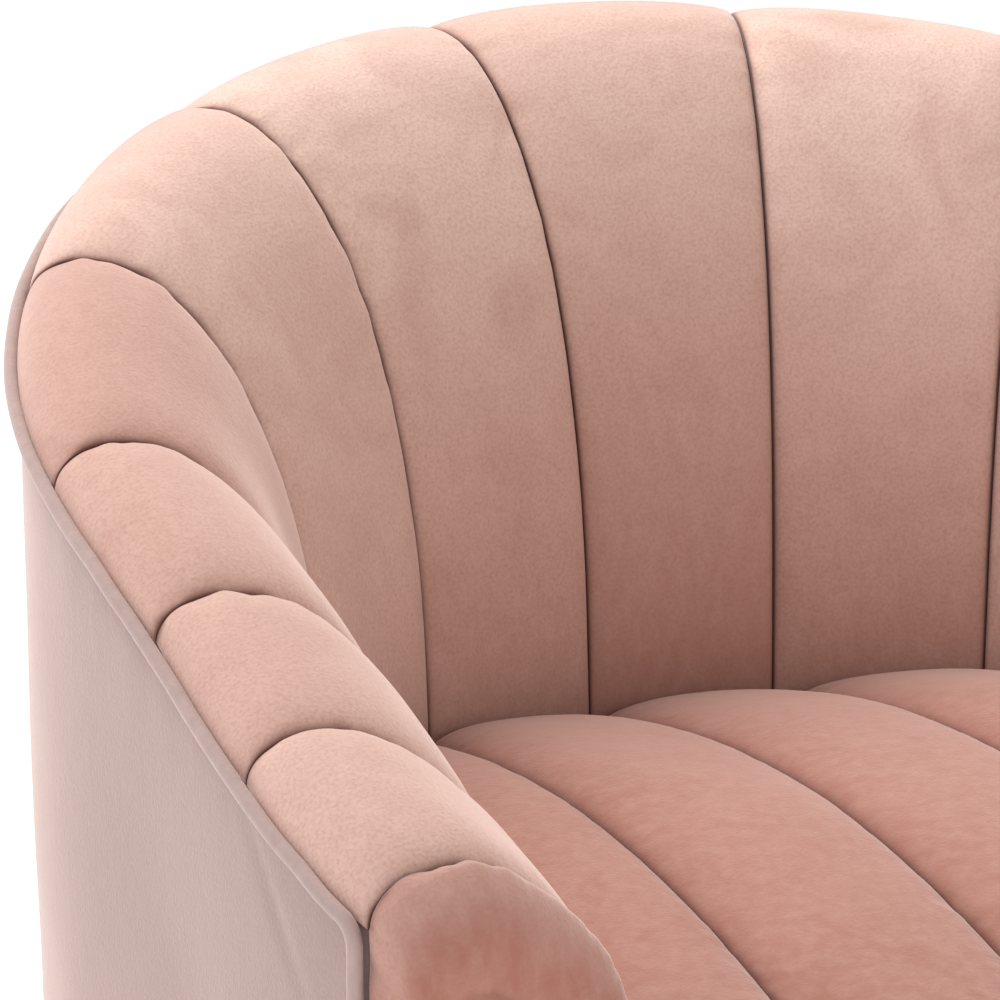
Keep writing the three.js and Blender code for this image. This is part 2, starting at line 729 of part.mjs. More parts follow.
function baseRing() {
  const profile = stations(0, 2 * Math.PI, 8).map((a) => [
    BASE_RING_RADIUS + BASE_TUBE_RADIUS * Math.cos(a),
    RING_LOW + BASE_TUBE_RADIUS * (1 + Math.sin(a)),
  ]);
  profile[8] = profile[0];
  return turned(profile, 2 * SIDES_ROUND);
}

function baseCross() {
  const half = CROSS_BAR.width / 2;
  const high = CROSS_LOW + CROSS_BAR.thickness;
  const reach = BASE_RING_RADIUS;
  return joined(
    box([-reach, -half, CROSS_LOW], [reach, half, high]),
    box([-half, -reach, CROSS_LOW], [half, reach, high]),
  );
}

function pivotBolt() {
  const { radius, headRadius, headHeight, play } = PIVOT_BOLT;
  const head = UPPER_RACE_LOW + RACE.thickness + play;
  return turned(
    [
      [0, CAGE_LOW],
      [radius, CAGE_LOW],
      [radius, head],
      [headRadius, head],
      [headRadius, head + headHeight],
      [0, head + headHeight],
    ],
    SIDES_ROUND,
  );
}

function carriagePan() {
  const reach = TIE_BAR.outer + 3;
  const half = PAN.width / 2;
  const shape = new THREE.Shape([
    new THREE.Vector2(-half, -reach),
    new THREE.Vector2(half, -reach),
    new THREE.Vector2(half, reach),
    new THREE.Vector2(-half, reach),
  ]);
  shape.holes.push(new THREE.Path().absarc(0, 0, PAN.hole, 0, 2 * Math.PI, true));
  const plate = new THREE.ExtrudeGeometry(shape, {
    depth: PAN.thickness,
    bevelEnabled: false,
    curveSegments: SIDES_ROUND / 2,
  });
  return plate.translate(0, 0, PAN_LOW);
}

function pinHole(y, z) {
  const radius = PIN_RADIUS + PIN_RUNNING_CLEARANCE;
  return new THREE.Path().absarc(y, z, radius, 0, 2 * Math.PI, true);
}

// An upright plate of the carriage: wide at its foot, with ears at the two upper pivots.
function carriageSide(side) {
  const ear = SIDE_PLATE.rim;
  const pivot = PIVOT_SPAN / 2;
  const foot = TIE_BAR.inner - GAP;
  const shape = new THREE.Shape();
  shape.moveTo(-foot, PLATE_LOW);
  shape.lineTo(foot, PLATE_LOW);
  shape.lineTo(foot, PLATE_LOW + TIE_BAR.height);
  shape.lineTo(pivot + ear, UPPER_PIVOT_HEIGHT);
  shape.absarc(pivot, UPPER_PIVOT_HEIGHT, ear, 0, Math.PI / 2, false);
  shape.lineTo(-pivot, UPPER_PIVOT_HEIGHT + ear);
  shape.absarc(-pivot, UPPER_PIVOT_HEIGHT, ear, Math.PI / 2, Math.PI, false);
  shape.lineTo(-foot, PLATE_LOW + TIE_BAR.height);
  shape.closePath();
  shape.holes.push(pinHole(pivot, UPPER_PIVOT_HEIGHT), pinHole(-pivot, UPPER_PIVOT_HEIGHT));
  const x = side > 0 ? SIDE_PLATE.x : -SIDE_PLATE.x - SIDE_PLATE.thickness;
  return plateAcrossX(shape, x, SIDE_PLATE.thickness);
}

function tieBar(side) {
  const y = [side * TIE_BAR.inner, side * TIE_BAR.outer].sort((a, b) => a - b);
  const reach = LINK.x - GAP;
  return box([-reach, y[0], PLATE_LOW], [reach, y[1], PLATE_LOW + TIE_BAR.height]);
}

// A cross rod with heads outside both links and collars between the plates and the links.
function upperRod() {
  const plate = SIDE_PLATE.x + SIDE_PLATE.thickness;
  const link = LINK.x + LINK.thickness;
  const [pin, collar, head] = [PIN_RADIUS, PIN_RADIUS + 3, PIN_HEAD.radius];
  const half = [
    [pin, plate + GAP],
    [collar, plate + GAP],
    [collar, LINK.x - GAP],
    [pin, LINK.x - GAP],
    [pin, link + GAP],
    [head, link + GAP],
    [head, link + GAP + PIN_HEAD.height],
    [0, link + GAP + PIN_HEAD.height],
  ];
  const mirror = half.map(([r, h]) => [r, -h]).reverse();
  return turned([...mirror, ...half], SIDES_PIN, true);
}

// A shoulder pin that holds a link's lower end to the seat bracket.
function lowerPin(side) {
  const outside = BRACKET.x + BRACKET.thickness;
  const [pin, collar, head] = [PIN_RADIUS, PIN_RADIUS + 3, PIN_HEAD.radius];
  const profile = [
    [0, LINK.x - GAP - PIN_HEAD.height],
    [head, LINK.x - GAP - PIN_HEAD.height],
    [head, LINK.x - GAP],
    [pin, LINK.x - GAP],
    [pin, LINK.x + LINK.thickness + GAP],
    [collar, LINK.x + LINK.thickness + GAP],
    [collar, BRACKET.x - GAP],
    [pin, BRACKET.x - GAP],
    [pin, outside + GAP],
    [head, outside + GAP],
    [head, outside + GAP + PIN_HEAD.height],
    [0, outside + GAP + PIN_HEAD.height],
  ].map(([r, h]) => [r, side * h]);
  return turned(profile, SIDES_PIN, true);
}

// A hanging link, drawn about its upper pivot.
function link(side) {
  const half = LINK.width / 2;
  const shape = new THREE.Shape();
  shape.moveTo(half, 0);
  shape.absarc(0, 0, half, 0, Math.PI, false);
  shape.lineTo(-half, -LINK_LENGTH);
  shape.absarc(0, -LINK_LENGTH, half, Math.PI, 2 * Math.PI, false);
  shape.closePath();
  shape.holes.push(pinHole(0, 0), pinHole(0, -LINK_LENGTH));
  const x = side > 0 ? LINK.x : -LINK.x - LINK.thickness;
  return plateAcrossX(shape, x, LINK.thickness);
}

// An angle bracket: its web holds the lower pins, its flange is bolted under the beams.
function seatBracket(side) {
  const top = SEAT_RAIL.bottom - GAP - BEAM.height - GAP;
  const [pivot, reach] = [PIVOT_SPAN / 2, BEAM.y + BEAM.width / 2];
  const ear = SIDE_PLATE.rim;
  const waist = UPPER_PIVOT_HEIGHT + PIN_HEAD.radius;
  const shape = new THREE.Shape();
  shape.moveTo(-pivot - ear, LOWER_PIVOT_HEIGHT);
  shape.absarc(-pivot, LOWER_PIVOT_HEIGHT, ear, Math.PI, 1.5 * Math.PI, false);
  shape.lineTo(pivot, LOWER_PIVOT_HEIGHT - ear);
  shape.absarc(pivot, LOWER_PIVOT_HEIGHT, ear, 1.5 * Math.PI, 2 * Math.PI, false);
  shape.lineTo(pivot + ear, waist);
  shape.lineTo(reach, top);
  shape.lineTo(-reach, top);
  shape.lineTo(-pivot - ear, waist);
  shape.closePath();
  shape.holes.push(pinHole(pivot, LOWER_PIVOT_HEIGHT), pinHole(-pivot, LOWER_PIVOT_HEIGHT));
  const x = side > 0 ? BRACKET.x : -BRACKET.x - BRACKET.thickness;
  const web = plateAcrossX(shape, x, BRACKET.thickness);
  const span = [side * BRACKET.x, side * (BRACKET.x + BRACKET.flange)].sort((a, b) => a - b);
  const flange = box([span[0], -reach, top - BRACKET.thickness], [span[1], reach, top]);
  return joined(web, flange);
}

// ---- Assembly: one group for each part of the chair that moves as one ----
const chair = new THREE.Group();
const [base, swivel, seat] = [new THREE.Group(), new THREE.Group(), new THREE.Group()];
chair.add(base, swivel, seat);

function add(group, name, geometry, look) {
  const mesh = new THREE.Mesh(geometry, look);
  mesh.name = name;
  group.add(mesh);
  return mesh;
}

const SIDES = [
  [1, "left"],
  [-1, "right"],
];
const ENDS = [
  [-1, "front"],
  [1, "rear"],
];

function addBase() {
  add(base, "floor_glide_ring", floorRing(), blackNylon);
  add(base, "base_ring", baseRing(), blackSteel);
  add(base, "base_cross_bars", baseCross(), blackSteel);
  const race = disc(RACE.radius, PIVOT_BOLT.radius + GAP, LOWER_RACE_LOW, LOWER_RACE_LOW + RACE.thickness);
  add(base, "swivel_lower_race", race, zincSteel);
  add(base, "swivel_ball_cage", disc(CAGE.radius, CAGE.hole, CAGE_LOW, CAGE_LOW + CAGE.height), blackNylon);
  add(base, "swivel_pivot_bolt", pivotBolt(), zincSteel);
}

function addSwivel() {
  const race = disc(RACE.radius, RACE.hole / 2 + GAP, UPPER_RACE_LOW, UPPER_RACE_LOW + RACE.thickness);
  add(swivel, "swivel_upper_race", race, zincSteel);
  add(swivel, "carriage_pan", carriagePan(), blackSteel);
  for (const [side, word] of SIDES) add(swivel, "carriage_side_" + word, carriageSide(side), blackSteel);
  for (const [end, word] of ENDS) {
    add(swivel, "carriage_tie_bar_" + word, tieBar(end), blackSteel);
    const rod = add(swivel, "upper_pivot_rod_" + word, upperRod(), zincSteel);
    rod.position.set(0, (end * PIVOT_SPAN) / 2, UPPER_PIVOT_HEIGHT);
  }
}

function addLinks() {
  for (const [side, sideWord] of SIDES) {
    for (const [end, endWord] of ENDS) {
      const arm = new THREE.Group();
      arm.position.set(0, (end * PIVOT_SPAN) / 2, UPPER_PIVOT_HEIGHT);
      add(arm, "glide_link_" + endWord + "_" + sideWord, link(side), zincSteel);
      chair.add(arm);
      const pin = add(seat, "lower_pin_" + endWord + "_" + sideWord, lowerPin(side), zincSteel);
      pin.position.set(0, (end * PIVOT_SPAN) / 2, LOWER_PIVOT_HEIGHT);
    }
  }
}

function addFrame() {
  for (const [side, word] of SIDES) add(seat, "seat_bracket_" + word, seatBracket(side), blackSteel);
  for (const [end, word] of ENDS) add(seat, "cross_beam_" + word, beam(end), beech);
  add(seat, "seat_rail", seatRail(), beech);
  add(seat, "bottom_frame", bottomFrame(), beech);
  add(seat, "rim_rail", rimRail(), beech);
  for (const [side, word] of SIDES) {
    POST.at.forEach((u, i) => add(seat, "post_" + word + "_" + (i + 1), post(-side * u), beech));
  }
  add(seat, "seat_springs", seatSprings(), springSteel);
  add(seat, "dust_cover", dustCover(), blackCloth);
}

function addUpholstery() {
  for (let k = -CHANNELS_EACH_SIDE; k <= CHANNELS_EACH_SIDE; k++) {
    const side = k < 0 ? "left_" : "right_";
    const name = k === 0 ? "back_channel_middle" : "back_channel_" + side + Math.abs(k);
    add(seat, name, channelPad(k), velvet);
  }
  for (const [side, word] of SIDES) {
    add(seat, "arm_front_pad_" + word, armFrontPad(-side), velvet);
    add(seat, "arm_piping_" + word, armPiping(-side), velvet);
    const ends = [-side * PANEL_SEAM, -side * CHANNEL_END].sort((a, b) => a - b);
    add(seat, "outside_panel_" + word, outsidePanel(...ends), velvetShade);
  }
  add(seat, "outside_panel_rear", outsidePanel(-PANEL_SEAM, PANEL_SEAM), velvetShade);
  add(seat, "rim_piping", rimPiping(), velvet);
  add(seat, "seat_cushion", seatCushion(), velvet);
  add(seat, "front_border", frontBorder(), velvet);
}

addBase();
addSwivel();
addLinks();
addFrame();
addUpholstery();

export default chair;
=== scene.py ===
"""Barrel nursery chair with channel-tufted velvet padding on a swivel glider base.

Shape tables are in millimetres and meshes in metres. The sitter faces -Y, +Z is up, and the
sitter's right arm is at -X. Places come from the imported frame.
"""

import math
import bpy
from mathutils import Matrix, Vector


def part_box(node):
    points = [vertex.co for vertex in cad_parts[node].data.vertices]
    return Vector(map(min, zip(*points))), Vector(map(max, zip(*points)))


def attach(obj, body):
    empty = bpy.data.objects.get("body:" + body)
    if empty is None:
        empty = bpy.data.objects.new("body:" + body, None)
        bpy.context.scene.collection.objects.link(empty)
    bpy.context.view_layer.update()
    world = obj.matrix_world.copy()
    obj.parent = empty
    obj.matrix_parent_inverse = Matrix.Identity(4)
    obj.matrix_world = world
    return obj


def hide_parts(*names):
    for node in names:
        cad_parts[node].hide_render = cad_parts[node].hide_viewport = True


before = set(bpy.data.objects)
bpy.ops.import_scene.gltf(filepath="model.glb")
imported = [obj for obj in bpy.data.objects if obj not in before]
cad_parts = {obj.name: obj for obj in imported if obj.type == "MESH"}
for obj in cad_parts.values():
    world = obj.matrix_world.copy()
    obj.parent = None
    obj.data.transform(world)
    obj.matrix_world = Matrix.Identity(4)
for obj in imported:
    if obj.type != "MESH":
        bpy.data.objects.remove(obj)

from types import SimpleNamespace

import bmesh
import bpy
import numpy as np
from mathutils import Matrix, Vector

bl_info = {
    "name": "Barrel nursery chair",
    "version": (1, 0, 0),
    "blender": (4, 5, 0),
    "location": "3D View > Sidebar > Chair",
    "description": "Builds a channel-tufted velvet barrel chair on a swivel glider base",
    "category": "Object",
}

MM = 0.001


def linear(code):
    """An sRGB hex colour as linear red, green, blue and alpha."""
    parts = [int(code[i : i + 2], 16) / 255 for i in (1, 3, 5)]
    return (*(c / 12.92 if c <= 0.04045 else ((c + 0.055) / 1.055) ** 2.4 for c in parts), 1.0)


def length(name, description, default):
    return bpy.props.FloatProperty(
        name=name, description=description, default=default, min=0.0, unit="LENGTH", precision=5
    )


def colour(name, description, code):
    return bpy.props.FloatVectorProperty(
        name=name, description=description, default=linear(code), size=4, min=0, max=1, subtype="COLOR"
    )


class ChairSizes(bpy.types.PropertyGroup):
    channel_rise: length("Channel rise", "Height of a channel's middle over the cut line", 0.006)
    channel_seam: length("Channel seam depth", "Depth of a seam under the cut line", 0.003)
    pucker: length("Pucker height", "Height of the small folds beside a seam", 0.0011)
    seat_rise: length("Seat channel rise", "Height of a seat channel over the cushion line", 0.005)
    seat_seam: length("Seat seam depth", "Depth of a seat seam under the cushion line", 0.006)
    welt_radius: length("Welt radius", "Radius of the corded welt", 0.0030)
    border_crown: length("Front border crown", "How far the front border bellies out", 0.005)
    ball_radius: length("Ball radius", "Radius of a bearing ball", 0.0038)
    staple_spacing: length("Staple spacing", "Distance between dust cover staples", 0.038)
    edge_round: length("Edge rounding", "Rounded edge on the wood and plates", 0.0012)


class ChairColours(bpy.types.PropertyGroup):
    # Deep and light velvet are the dark and lit ends of the painted sheen and light.
    velvet_deep: colour("Velvet, deep", "Pile seen into its depth", "#a46e60")
    velvet_light: colour("Velvet, light", "Pile brushed towards the light", "#e8c9bb")
    # Painted shade: the colour that the pile darkens to in and beside the seams.
    velvet_seam: colour("Velvet, seam", "Pile pressed into a seam", "#6f443c")
    # Painted light: the outside panels run from the outside deep colour at the bottom to the outside light
    # colour at the top, a cooler, greyer copy of the velvet for the cool side light.
    outside_deep: colour("Outside velvet, deep", "Outside panels, pile brushed down", "#968079")
    outside_light: colour("Outside velvet, light", "Outside panels, pile brushed up", "#ab9692")
    beech: colour("Beech", "Steamed beech", "#c79f73")
    beech_dark: colour("Beech grain", "Late wood and pores", "#a97f55")


# ---- The rim line that the tub hangs from, as the frame's solids have it ----
BODY_WIDTH = 744.0
REAR_RIM, ARM_RIM = 766.0, 555.0
SEAT_EDGE, SEAT_CROWN, SEAT_FOOT = 442.0, 44.0, 352.0
UNDERSIDE = 70.0
REAR_DEPTH, ARM_DEPTH = 130.0, 96.0
ROLL_OUT, ROLL_DOWN = 26.4, 19.4
PANEL_TAPER, PANEL_THICK = 14.0, 5.0
PAD_THICK, PAD_OVER_RAIL, RAIL_REACH = 45.0, 32.0, 40
ARM_PITCH = 88.4
CHANNELS = 6
END = CHANNELS + 0.5
ARM_FRONT, ARM_FRONT_TOP, ARM_FRONT_SIDE = 28.0, 44.0, 26.0
ARM_DRAWN_IN = 5.0
SEAM_TURN_IN = 9
SEAT_PITCH = 102.0
NOSE_ROUND, SEAT_REAR_ROUND = 44.0, 15.0
TURN_AT, TURN = [0, 1.5, 3, 4.5, 6.5], [27.8, 25.1, 27.3, -5.1, 14]
FALL_AT, FALL = [0, 1.7, 3.3, 4.9, 6.6], [1, 0.868, 0.509, 0.234, 0]
PLAN_STEP = 0.05
# Painted sheen and light on each channel, on its wall and on its crest, from the middle of the back to the
# arm front
WALL_PAINTED_LIGHT = (0, 0.15, 0.36, 0.30, 0.05, 0, 0)
CREST_PAINTED_LIGHT = (0.33, 0.34, -0.02, -0.38, -0.01, 0.09, 0.17)


def plan_line(rear_pitch):
    """The crest in plan for one side: rim coordinate, x, y and turned angle."""
    rows = [(0.0, 0.0, 0.0, 0.0)]
    for i in range(round((END + 1) / PLAN_STEP)):
        u = (i + 0.5) * PLAN_STEP
        _, x, y, angle = rows[-1]
        turn = math.radians(np.interp(u, TURN_AT, TURN)) * PLAN_STEP
        middle = angle + turn / 2
        share = min(max((u - 2.5) / 2, 0), 1)
        step = (rear_pitch + (ARM_PITCH - rear_pitch) * share) * PLAN_STEP
        x, y = x - math.cos(middle) * step, y - math.sin(middle) * step
        rows.append((u + PLAN_STEP / 2, x, y, angle + turn))
    return np.array(rows).T


def fitted_plan():
    narrow, wide = BODY_WIDTH / 12, BODY_WIDTH / 2
    for _ in range(50):
        middle = (narrow + wide) / 2
        if max(-plan_line(middle)[1]) + ROLL_OUT < BODY_WIDTH / 2:
            narrow = middle
        else:
            wide = middle
    return plan_line(wide)


PLAN = fitted_plan()
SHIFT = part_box("rim_piping")[1].y / MM - (ROLL_OUT + 6.6)


def fall_at(u):
    """The rim's height from 1 at the back to 0 at the arm fronts."""
    slope = np.zeros(5)
    for i in range(1, 4):
        slope[i] = (FALL[i + 1] - FALL[i - 1]) / (FALL_AT[i + 1] - FALL_AT[i - 1])
    slope[4] = (FALL[4] - FALL[3]) / (FALL_AT[4] - FALL_AT[3])
    at, value = np.array(FALL_AT), np.array(FALL)
    i = np.clip(np.searchsorted(at, u, side="left") - 1, 0, 3)
    h = at[i + 1] - at[i]
    t = (u - at[i]) / h
    start = (2 * t**3 - 3 * t**2 + 1) * value[i] + (t**3 - 2 * t**2 + t) * h * slope[i]
    end = (3 * t**2 - 2 * t**3) * value[i + 1] + (t**3 - t**2) * h * slope[i + 1]
    return start + end


def ease(low, high, x):
    t = np.clip((x - low) / (high - low), 0, 1)
    return t * t * (3 - 2 * t)


def rim(u):
    """Stations of the rim at rim coordinates u, which grow towards the sitter's right."""
    u = np.asarray(u, float)
    side = np.where(u < 0, -1.0, 1.0)
    far = np.abs(u)
    angle = np.interp(far, PLAN[0], PLAN[3])
    return SimpleNamespace(
        x=side * np.interp(far, PLAN[0], PLAN[1]),
        y=np.interp(far, PLAN[0], PLAN[2]) + SHIFT,
        nx=-side * np.sin(angle),
        ny=np.cos(angle),
        tx=-side * np.cos(angle),
        ty=-np.sin(angle),
        crest=ARM_RIM + fall_at(far) * (REAR_RIM - ARM_RIM),
        depth=REAR_DEPTH + (ARM_DEPTH - REAR_DEPTH) * ease(0, 3.6, far),
    )


def at_rim(r, out, z, forward=0.0):
    """Points out from the crest, up from the floor and forward along the rim."""
    x = r.x + r.nx * out + r.tx * forward
    y = r.y + r.ny * out + r.ty * forward
    return np.stack(np.broadcast_arrays(x, y, z), axis=-1)


def wall(r, t):
    rise = r.crest - SEAT_EDGE
    a, b, c, d = (1 - t) ** 3, 3 * (1 - t) ** 2 * t, 3 * (1 - t) * t**2, t**3
    return -r.depth * (a + b + 0.45 * c), SEAT_EDGE + rise * (0.7 * b + c + d)


def panel_out(r, z):
    top = r.crest - ROLL_DOWN
    t = np.clip((top - z) / (top - UNDERSIDE), 0, 1)
    return ROLL_OUT - PANEL_TAPER * t * t


def soft_noise(x, y, size, seed):
    """Smooth hills and hollows from -1 to 1, size mm apart, the same on every run."""
    grid = np.random.default_rng(seed).uniform(-1, 1, (64, 64))
    x, y = np.broadcast_arrays(np.asarray(x, float) / size, np.asarray(y, float) / size)
    i, j = np.floor(x).astype(int), np.floor(y).astype(int)
    s, t = x - i, y - j
    s, t = s * s * (3 - 2 * s), t * t * (3 - 2 * t)
    low = grid[i % 64, j % 64] * (1 - s) + grid[(i + 1) % 64, j % 64] * s
    high = grid[i % 64, (j + 1) % 64] * (1 - s) + grid[(i + 1) % 64, (j + 1) % 64] * s
    return low * (1 - t) + high * t


# ---- Meshes and materials ----
def add_node(tree, kind, settings=None, inputs=None, links=None):
    """Add one node, set it, and link other nodes' outputs to its inputs."""
    node = tree.nodes.new(kind)
    for key, value in (settings or {}).items():
        setattr(node, key, value)
    for key, value in (inputs or {}).items():
        node.inputs[key].default_value = value
    for key, source in (links or {}).items():
        tree.links.new(source, node.inputs[key])
    return node


MATERIALS = {}
VELVET = "velvet, cut pile"
OUTSIDE_VELVET = "outside velvet, cut pile"
WELT_VELVET = "welt velvet, cut pile"
CLOTH = "polypropylene cloth, spunbonded"
BEECH = "steamed beech, planed"
WIRE = "spring steel, oil tempered"
ZINC = "steel, zinc plated"
BLACK_STEEL = "steel, black powder coat"
NYLON = "nylon, moulded"
FLOOR = "studio floor, matt white"


def new_material(name, code, **inputs):
    """A material with one Principled shader, whose even values go on its own sockets."""
    material = bpy.data.materials.new(name)
    material.use_nodes = True
    material.diffuse_color = linear(code) if isinstance(code, str) else tuple(code)
    shader = material.node_tree.nodes["Principled BSDF"]
    shader.inputs["Base Color"].default_value = material.diffuse_color
    for key, value in inputs.items():
        shader.inputs[key.replace("_", " ")].default_value = value
    MATERIALS[name] = material
    return material.node_tree, shader


def mixed(tree, factor, a, b):
    """Blend two colours, each a plain colour or another node's output."""
    inputs, links = {}, {0: factor}
    for key, value in ((6, a), (7, b)):
        (links if isinstance(value, bpy.types.NodeSocket) else inputs)[key] = value
    return add_node(tree, "ShaderNodeMix", {"data_type": "RGBA"}, inputs, links).outputs[2]


def noise(tree, place, millimetres, detail=2.0, distortion=0.0):
    inputs = {"Scale": 1000 / millimetres, "Detail": detail, "Distortion": distortion}
    return add_node(tree, "ShaderNodeTexNoise", None, inputs, {"Vector": place}).outputs["Fac"]


def spread(tree, value, low, high):
    inputs = {"From Min": low, "From Max": high}
    return add_node(tree, "ShaderNodeMapRange", None, inputs, {"Value": value}).outputs["Result"]


def bump(tree, shader, height, strength, distance):
    inputs = {"Strength": strength, "Distance": distance}
    node = add_node(tree, "ShaderNodeBump", None, inputs, {"Height": height})
    tree.links.new(node.outputs["Normal"], shader.inputs["Normal"])


def object_place(tree, stretch=(1, 1, 1)):
    place = add_node(tree, "ShaderNodeTexCoord").outputs["Object"]
    if tuple(stretch) == (1, 1, 1):
        return place
    return add_node(tree, "ShaderNodeMapping", None, {"Scale": stretch}, {"Vector": place}).outputs["Vector"]


def tint(tree, shader, pattern, first, second):
    """Run the base colour from one hex colour to another by a pattern."""
    tree.links.new(mixed(tree, pattern, linear(first), linear(second)), shader.inputs["Base Color"])


def maths(tree, operation, inputs, links):
    settings = {"operation": operation, "use_clamp": operation == "ADD"}
    return add_node(tree, "ShaderNodeMath", settings, inputs, links).outputs[0]


def attribute(tree, name):
    return add_node(tree, "ShaderNodeAttribute", {"attribute_name": name}).outputs["Fac"]


def velvet_material(name, deep, light, seam, sheen):
    # Cut polyester pile: matt from the front, pale at grazing angles, with hand marks in the nap.
    tree, shader = new_material(
        name, deep, Roughness=0.85, Sheen_Weight=sheen, Sheen_Roughness=0.38,
        Sheen_Tint=linear("#fbe9e3"), Specular_IOR_Level=0.18, IOR=1.46,
    )
    place = object_place(tree)
    # Real pile tufts are 0.3 mm; drawn at 1.6 mm so that they show as fine grain.
    grain = noise(tree, place, 1.6, 3.0)
    marks = noise(tree, place, 55, 3.0, 1.2)
    short = noise(tree, object_place(tree, (1, 1, 0.45)), 7, 2.0, 0.4)
    cloud = maths(tree, "MULTIPLY_ADD", {1: 0.35, 2: -0.17}, {0: marks})
    # Painted sheen and light: the point attribute, with the random marks, moves the colour from the deep
    # colour to the light colour.
    share = maths(tree, "ADD", None, {0: cloud, 1: attribute(tree, "nap_and_painted_light")})
    soft = mixed(tree, share, deep, light)
    nap_and_painted_light = mixed(tree, spread(tree, short, 0.35, 3.2), soft, light)
    brushed = mixed(tree, spread(tree, marks, 0.42, 1.5), nap_and_painted_light, deep)
    flecked = mixed(tree, spread(tree, grain, 0.40, 1.5), brushed, deep)
    # Painted shade: the seam attribute darkens the pile towards the seam colour in and beside the seams.
    seam_shaded = mixed(tree, attribute(tree, "seam"), flecked, seam)
    tree.links.new(seam_shaded, shader.inputs["Base Color"])
    bump(tree, shader, maths(tree, "MULTIPLY_ADD", {1: 0.5}, {0: short, 2: grain}), 0.35, 0.0008)


def beech_material(colours):
    # Planed steamed beech: pale, straight grain lines along the piece and short dark pores.
    tree, shader = new_material(BEECH, colours.beech, Roughness=0.62, IOR=1.5)
    rings = noise(tree, object_place(tree, (1, 1, 0.08)), 9, 4.0, 0.6)
    pores = noise(tree, object_place(tree, (1, 0.12, 0.12)), 1.4, 2.0)
    wood = mixed(tree, spread(tree, rings, 0.35, 0.7), colours.beech, colours.beech_dark)
    wood = mixed(tree, spread(tree, pores, 0.62, 0.95), wood, linear("#7c5a3a"))
    tree.links.new(wood, shader.inputs["Base Color"])
    bump(tree, shader, pores, 0.15, 0.0003)


def steel_materials():
    # Black powder coat: satin, with the faint orange peel of baked powder.
    tree, shader = new_material(BLACK_STEEL, "#1d1e20", Roughness=0.42, IOR=1.5)
    tint(tree, shader, noise(tree, object_place(tree), 60, 2.0), "#1a1b1d", "#26272a")
    bump(tree, shader, noise(tree, object_place(tree), 2.2, 2.0), 0.2, 0.0003)
    # Bright zinc plate: grey metal with a blue and straw bloom and small spangle.
    tree, shader = new_material(ZINC, "#b4b7ba", Roughness=0.3, Metallic=1.0)
    bloom = noise(tree, object_place(tree), 24, 3.0, 0.8)
    spangle = noise(tree, object_place(tree), 2.5, 2.0)
    tint(tree, shader, spread(tree, bloom, 0.3, 0.7), "#a9b0b8", "#bdb8a8")
    polish = add_node(tree, "ShaderNodeMapRange", None, {"To Min": 0.24, "To Max": 0.42}, {"Value": spangle})
    tree.links.new(polish.outputs["Result"], shader.inputs["Roughness"])
    bump(tree, shader, spangle, 0.08, 0.0002)
    # Oil-tempered spring wire: dark blue-grey, drawn lines and light scale.
    tree, shader = new_material(WIRE, "#6d7075", Roughness=0.38, Metallic=1.0)
    scale = noise(tree, object_place(tree), 6, 4.0)
    tint(tree, shader, spread(tree, scale, 0.4, 0.75), "#74777c", "#4a4642")
    bump(tree, shader, noise(tree, object_place(tree, (1, 0.1, 1)), 0.9, 1.0), 0.12, 0.0002)


def black_materials():
    # Moulded nylon: black, satin, finely spark-textured so that it looks dry.
    tree, shader = new_material(NYLON, "#17181a", Roughness=0.5, IOR=1.53)
    grit = noise(tree, object_place(tree), 0.9, 2.0)
    tint(tree, shader, grit, "#141517", "#212224")
    bump(tree, shader, grit, 0.3, 0.0002)
    # Spunbonded polypropylene: black, papery, pressed in small dimples 3 mm apart.
    tree, shader = new_material(CLOTH, "#191a1c", Roughness=0.9, Sheen_Weight=0.15)
    inputs = {"Scale": 1000 / 3.0, "Randomness": 0.2}
    dimple = add_node(tree, "ShaderNodeTexVoronoi", None, inputs, {"Vector": object_place(tree)})
    tint(tree, shader, noise(tree, object_place(tree, (1, 0.3, 1)), 1.5, 3.0), "#131416", "#2a2b2e")
    bump(tree, shader, dimple.outputs["Distance"], 0.4, 0.0004)


def mesh_piece(name, points, faces, material, seam=None, smooth=True, nap_and_painted_light=None):
    """A mesh object from points in mm. Faces are turned to point outwards."""
    mesh = bpy.data.meshes.new(name)
    mesh.from_pydata((np.asarray(points, float).reshape(-1, 3) * MM).tolist(), [], faces)
    # Point attributes: painted shade at the seams, and painted sheen and light across each piece.
    for label, given in (("seam", seam), ("nap_and_painted_light", nap_and_painted_light)):
        if given is not None:
            values = np.clip(np.asarray(given, np.float32).ravel(), 0, 1)
            mesh.attributes.new(label, "FLOAT", "POINT").data.foreach_set("value", values)
    work = bmesh.new()
    work.from_mesh(mesh)
    bmesh.ops.recalc_face_normals(work, faces=work.faces)
    if work.calc_volume(signed=True) < 0:
        bmesh.ops.reverse_faces(work, faces=work.faces)
    work.to_mesh(mesh)
    work.free()
    mesh.polygons.foreach_set("use_smooth", [smooth] * len(mesh.polygons))
    mesh.materials.append(MATERIALS[material])
    piece = bpy.data.objects.new(name, mesh)
    bpy.context.scene.collection.objects.link(piece)
    return piece


def ring_faces(rings, count, close_rings=False):
    """Quads through rings of points, with the two end rings closed by one flat face each."""
    faces = []
    total = rings if close_rings else rings - 1
    for i in range(total):
        a, b = i * count, ((i + 1) % rings) * count
        faces += [(a + j, a + (j + 1) % count, b + (j + 1) % count, b + j) for j in range(count)]
    if not close_rings:
        faces += [tuple(range(count)), tuple(range((rings - 1) * count, rings * count))]
    return faces


def settle(piece, body, material, *nodes, fill=None):
    """Hand a finished piece to the frame: its body and the solids it stands for. The material is not used.
    """
    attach(piece, body)
    if nodes:
        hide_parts(*nodes)
    return piece


def sharpen_edges(piece, degrees=35):
    piece.data.shade_smooth()
    piece.data.set_sharp_from_angle(angle=math.radians(degrees))


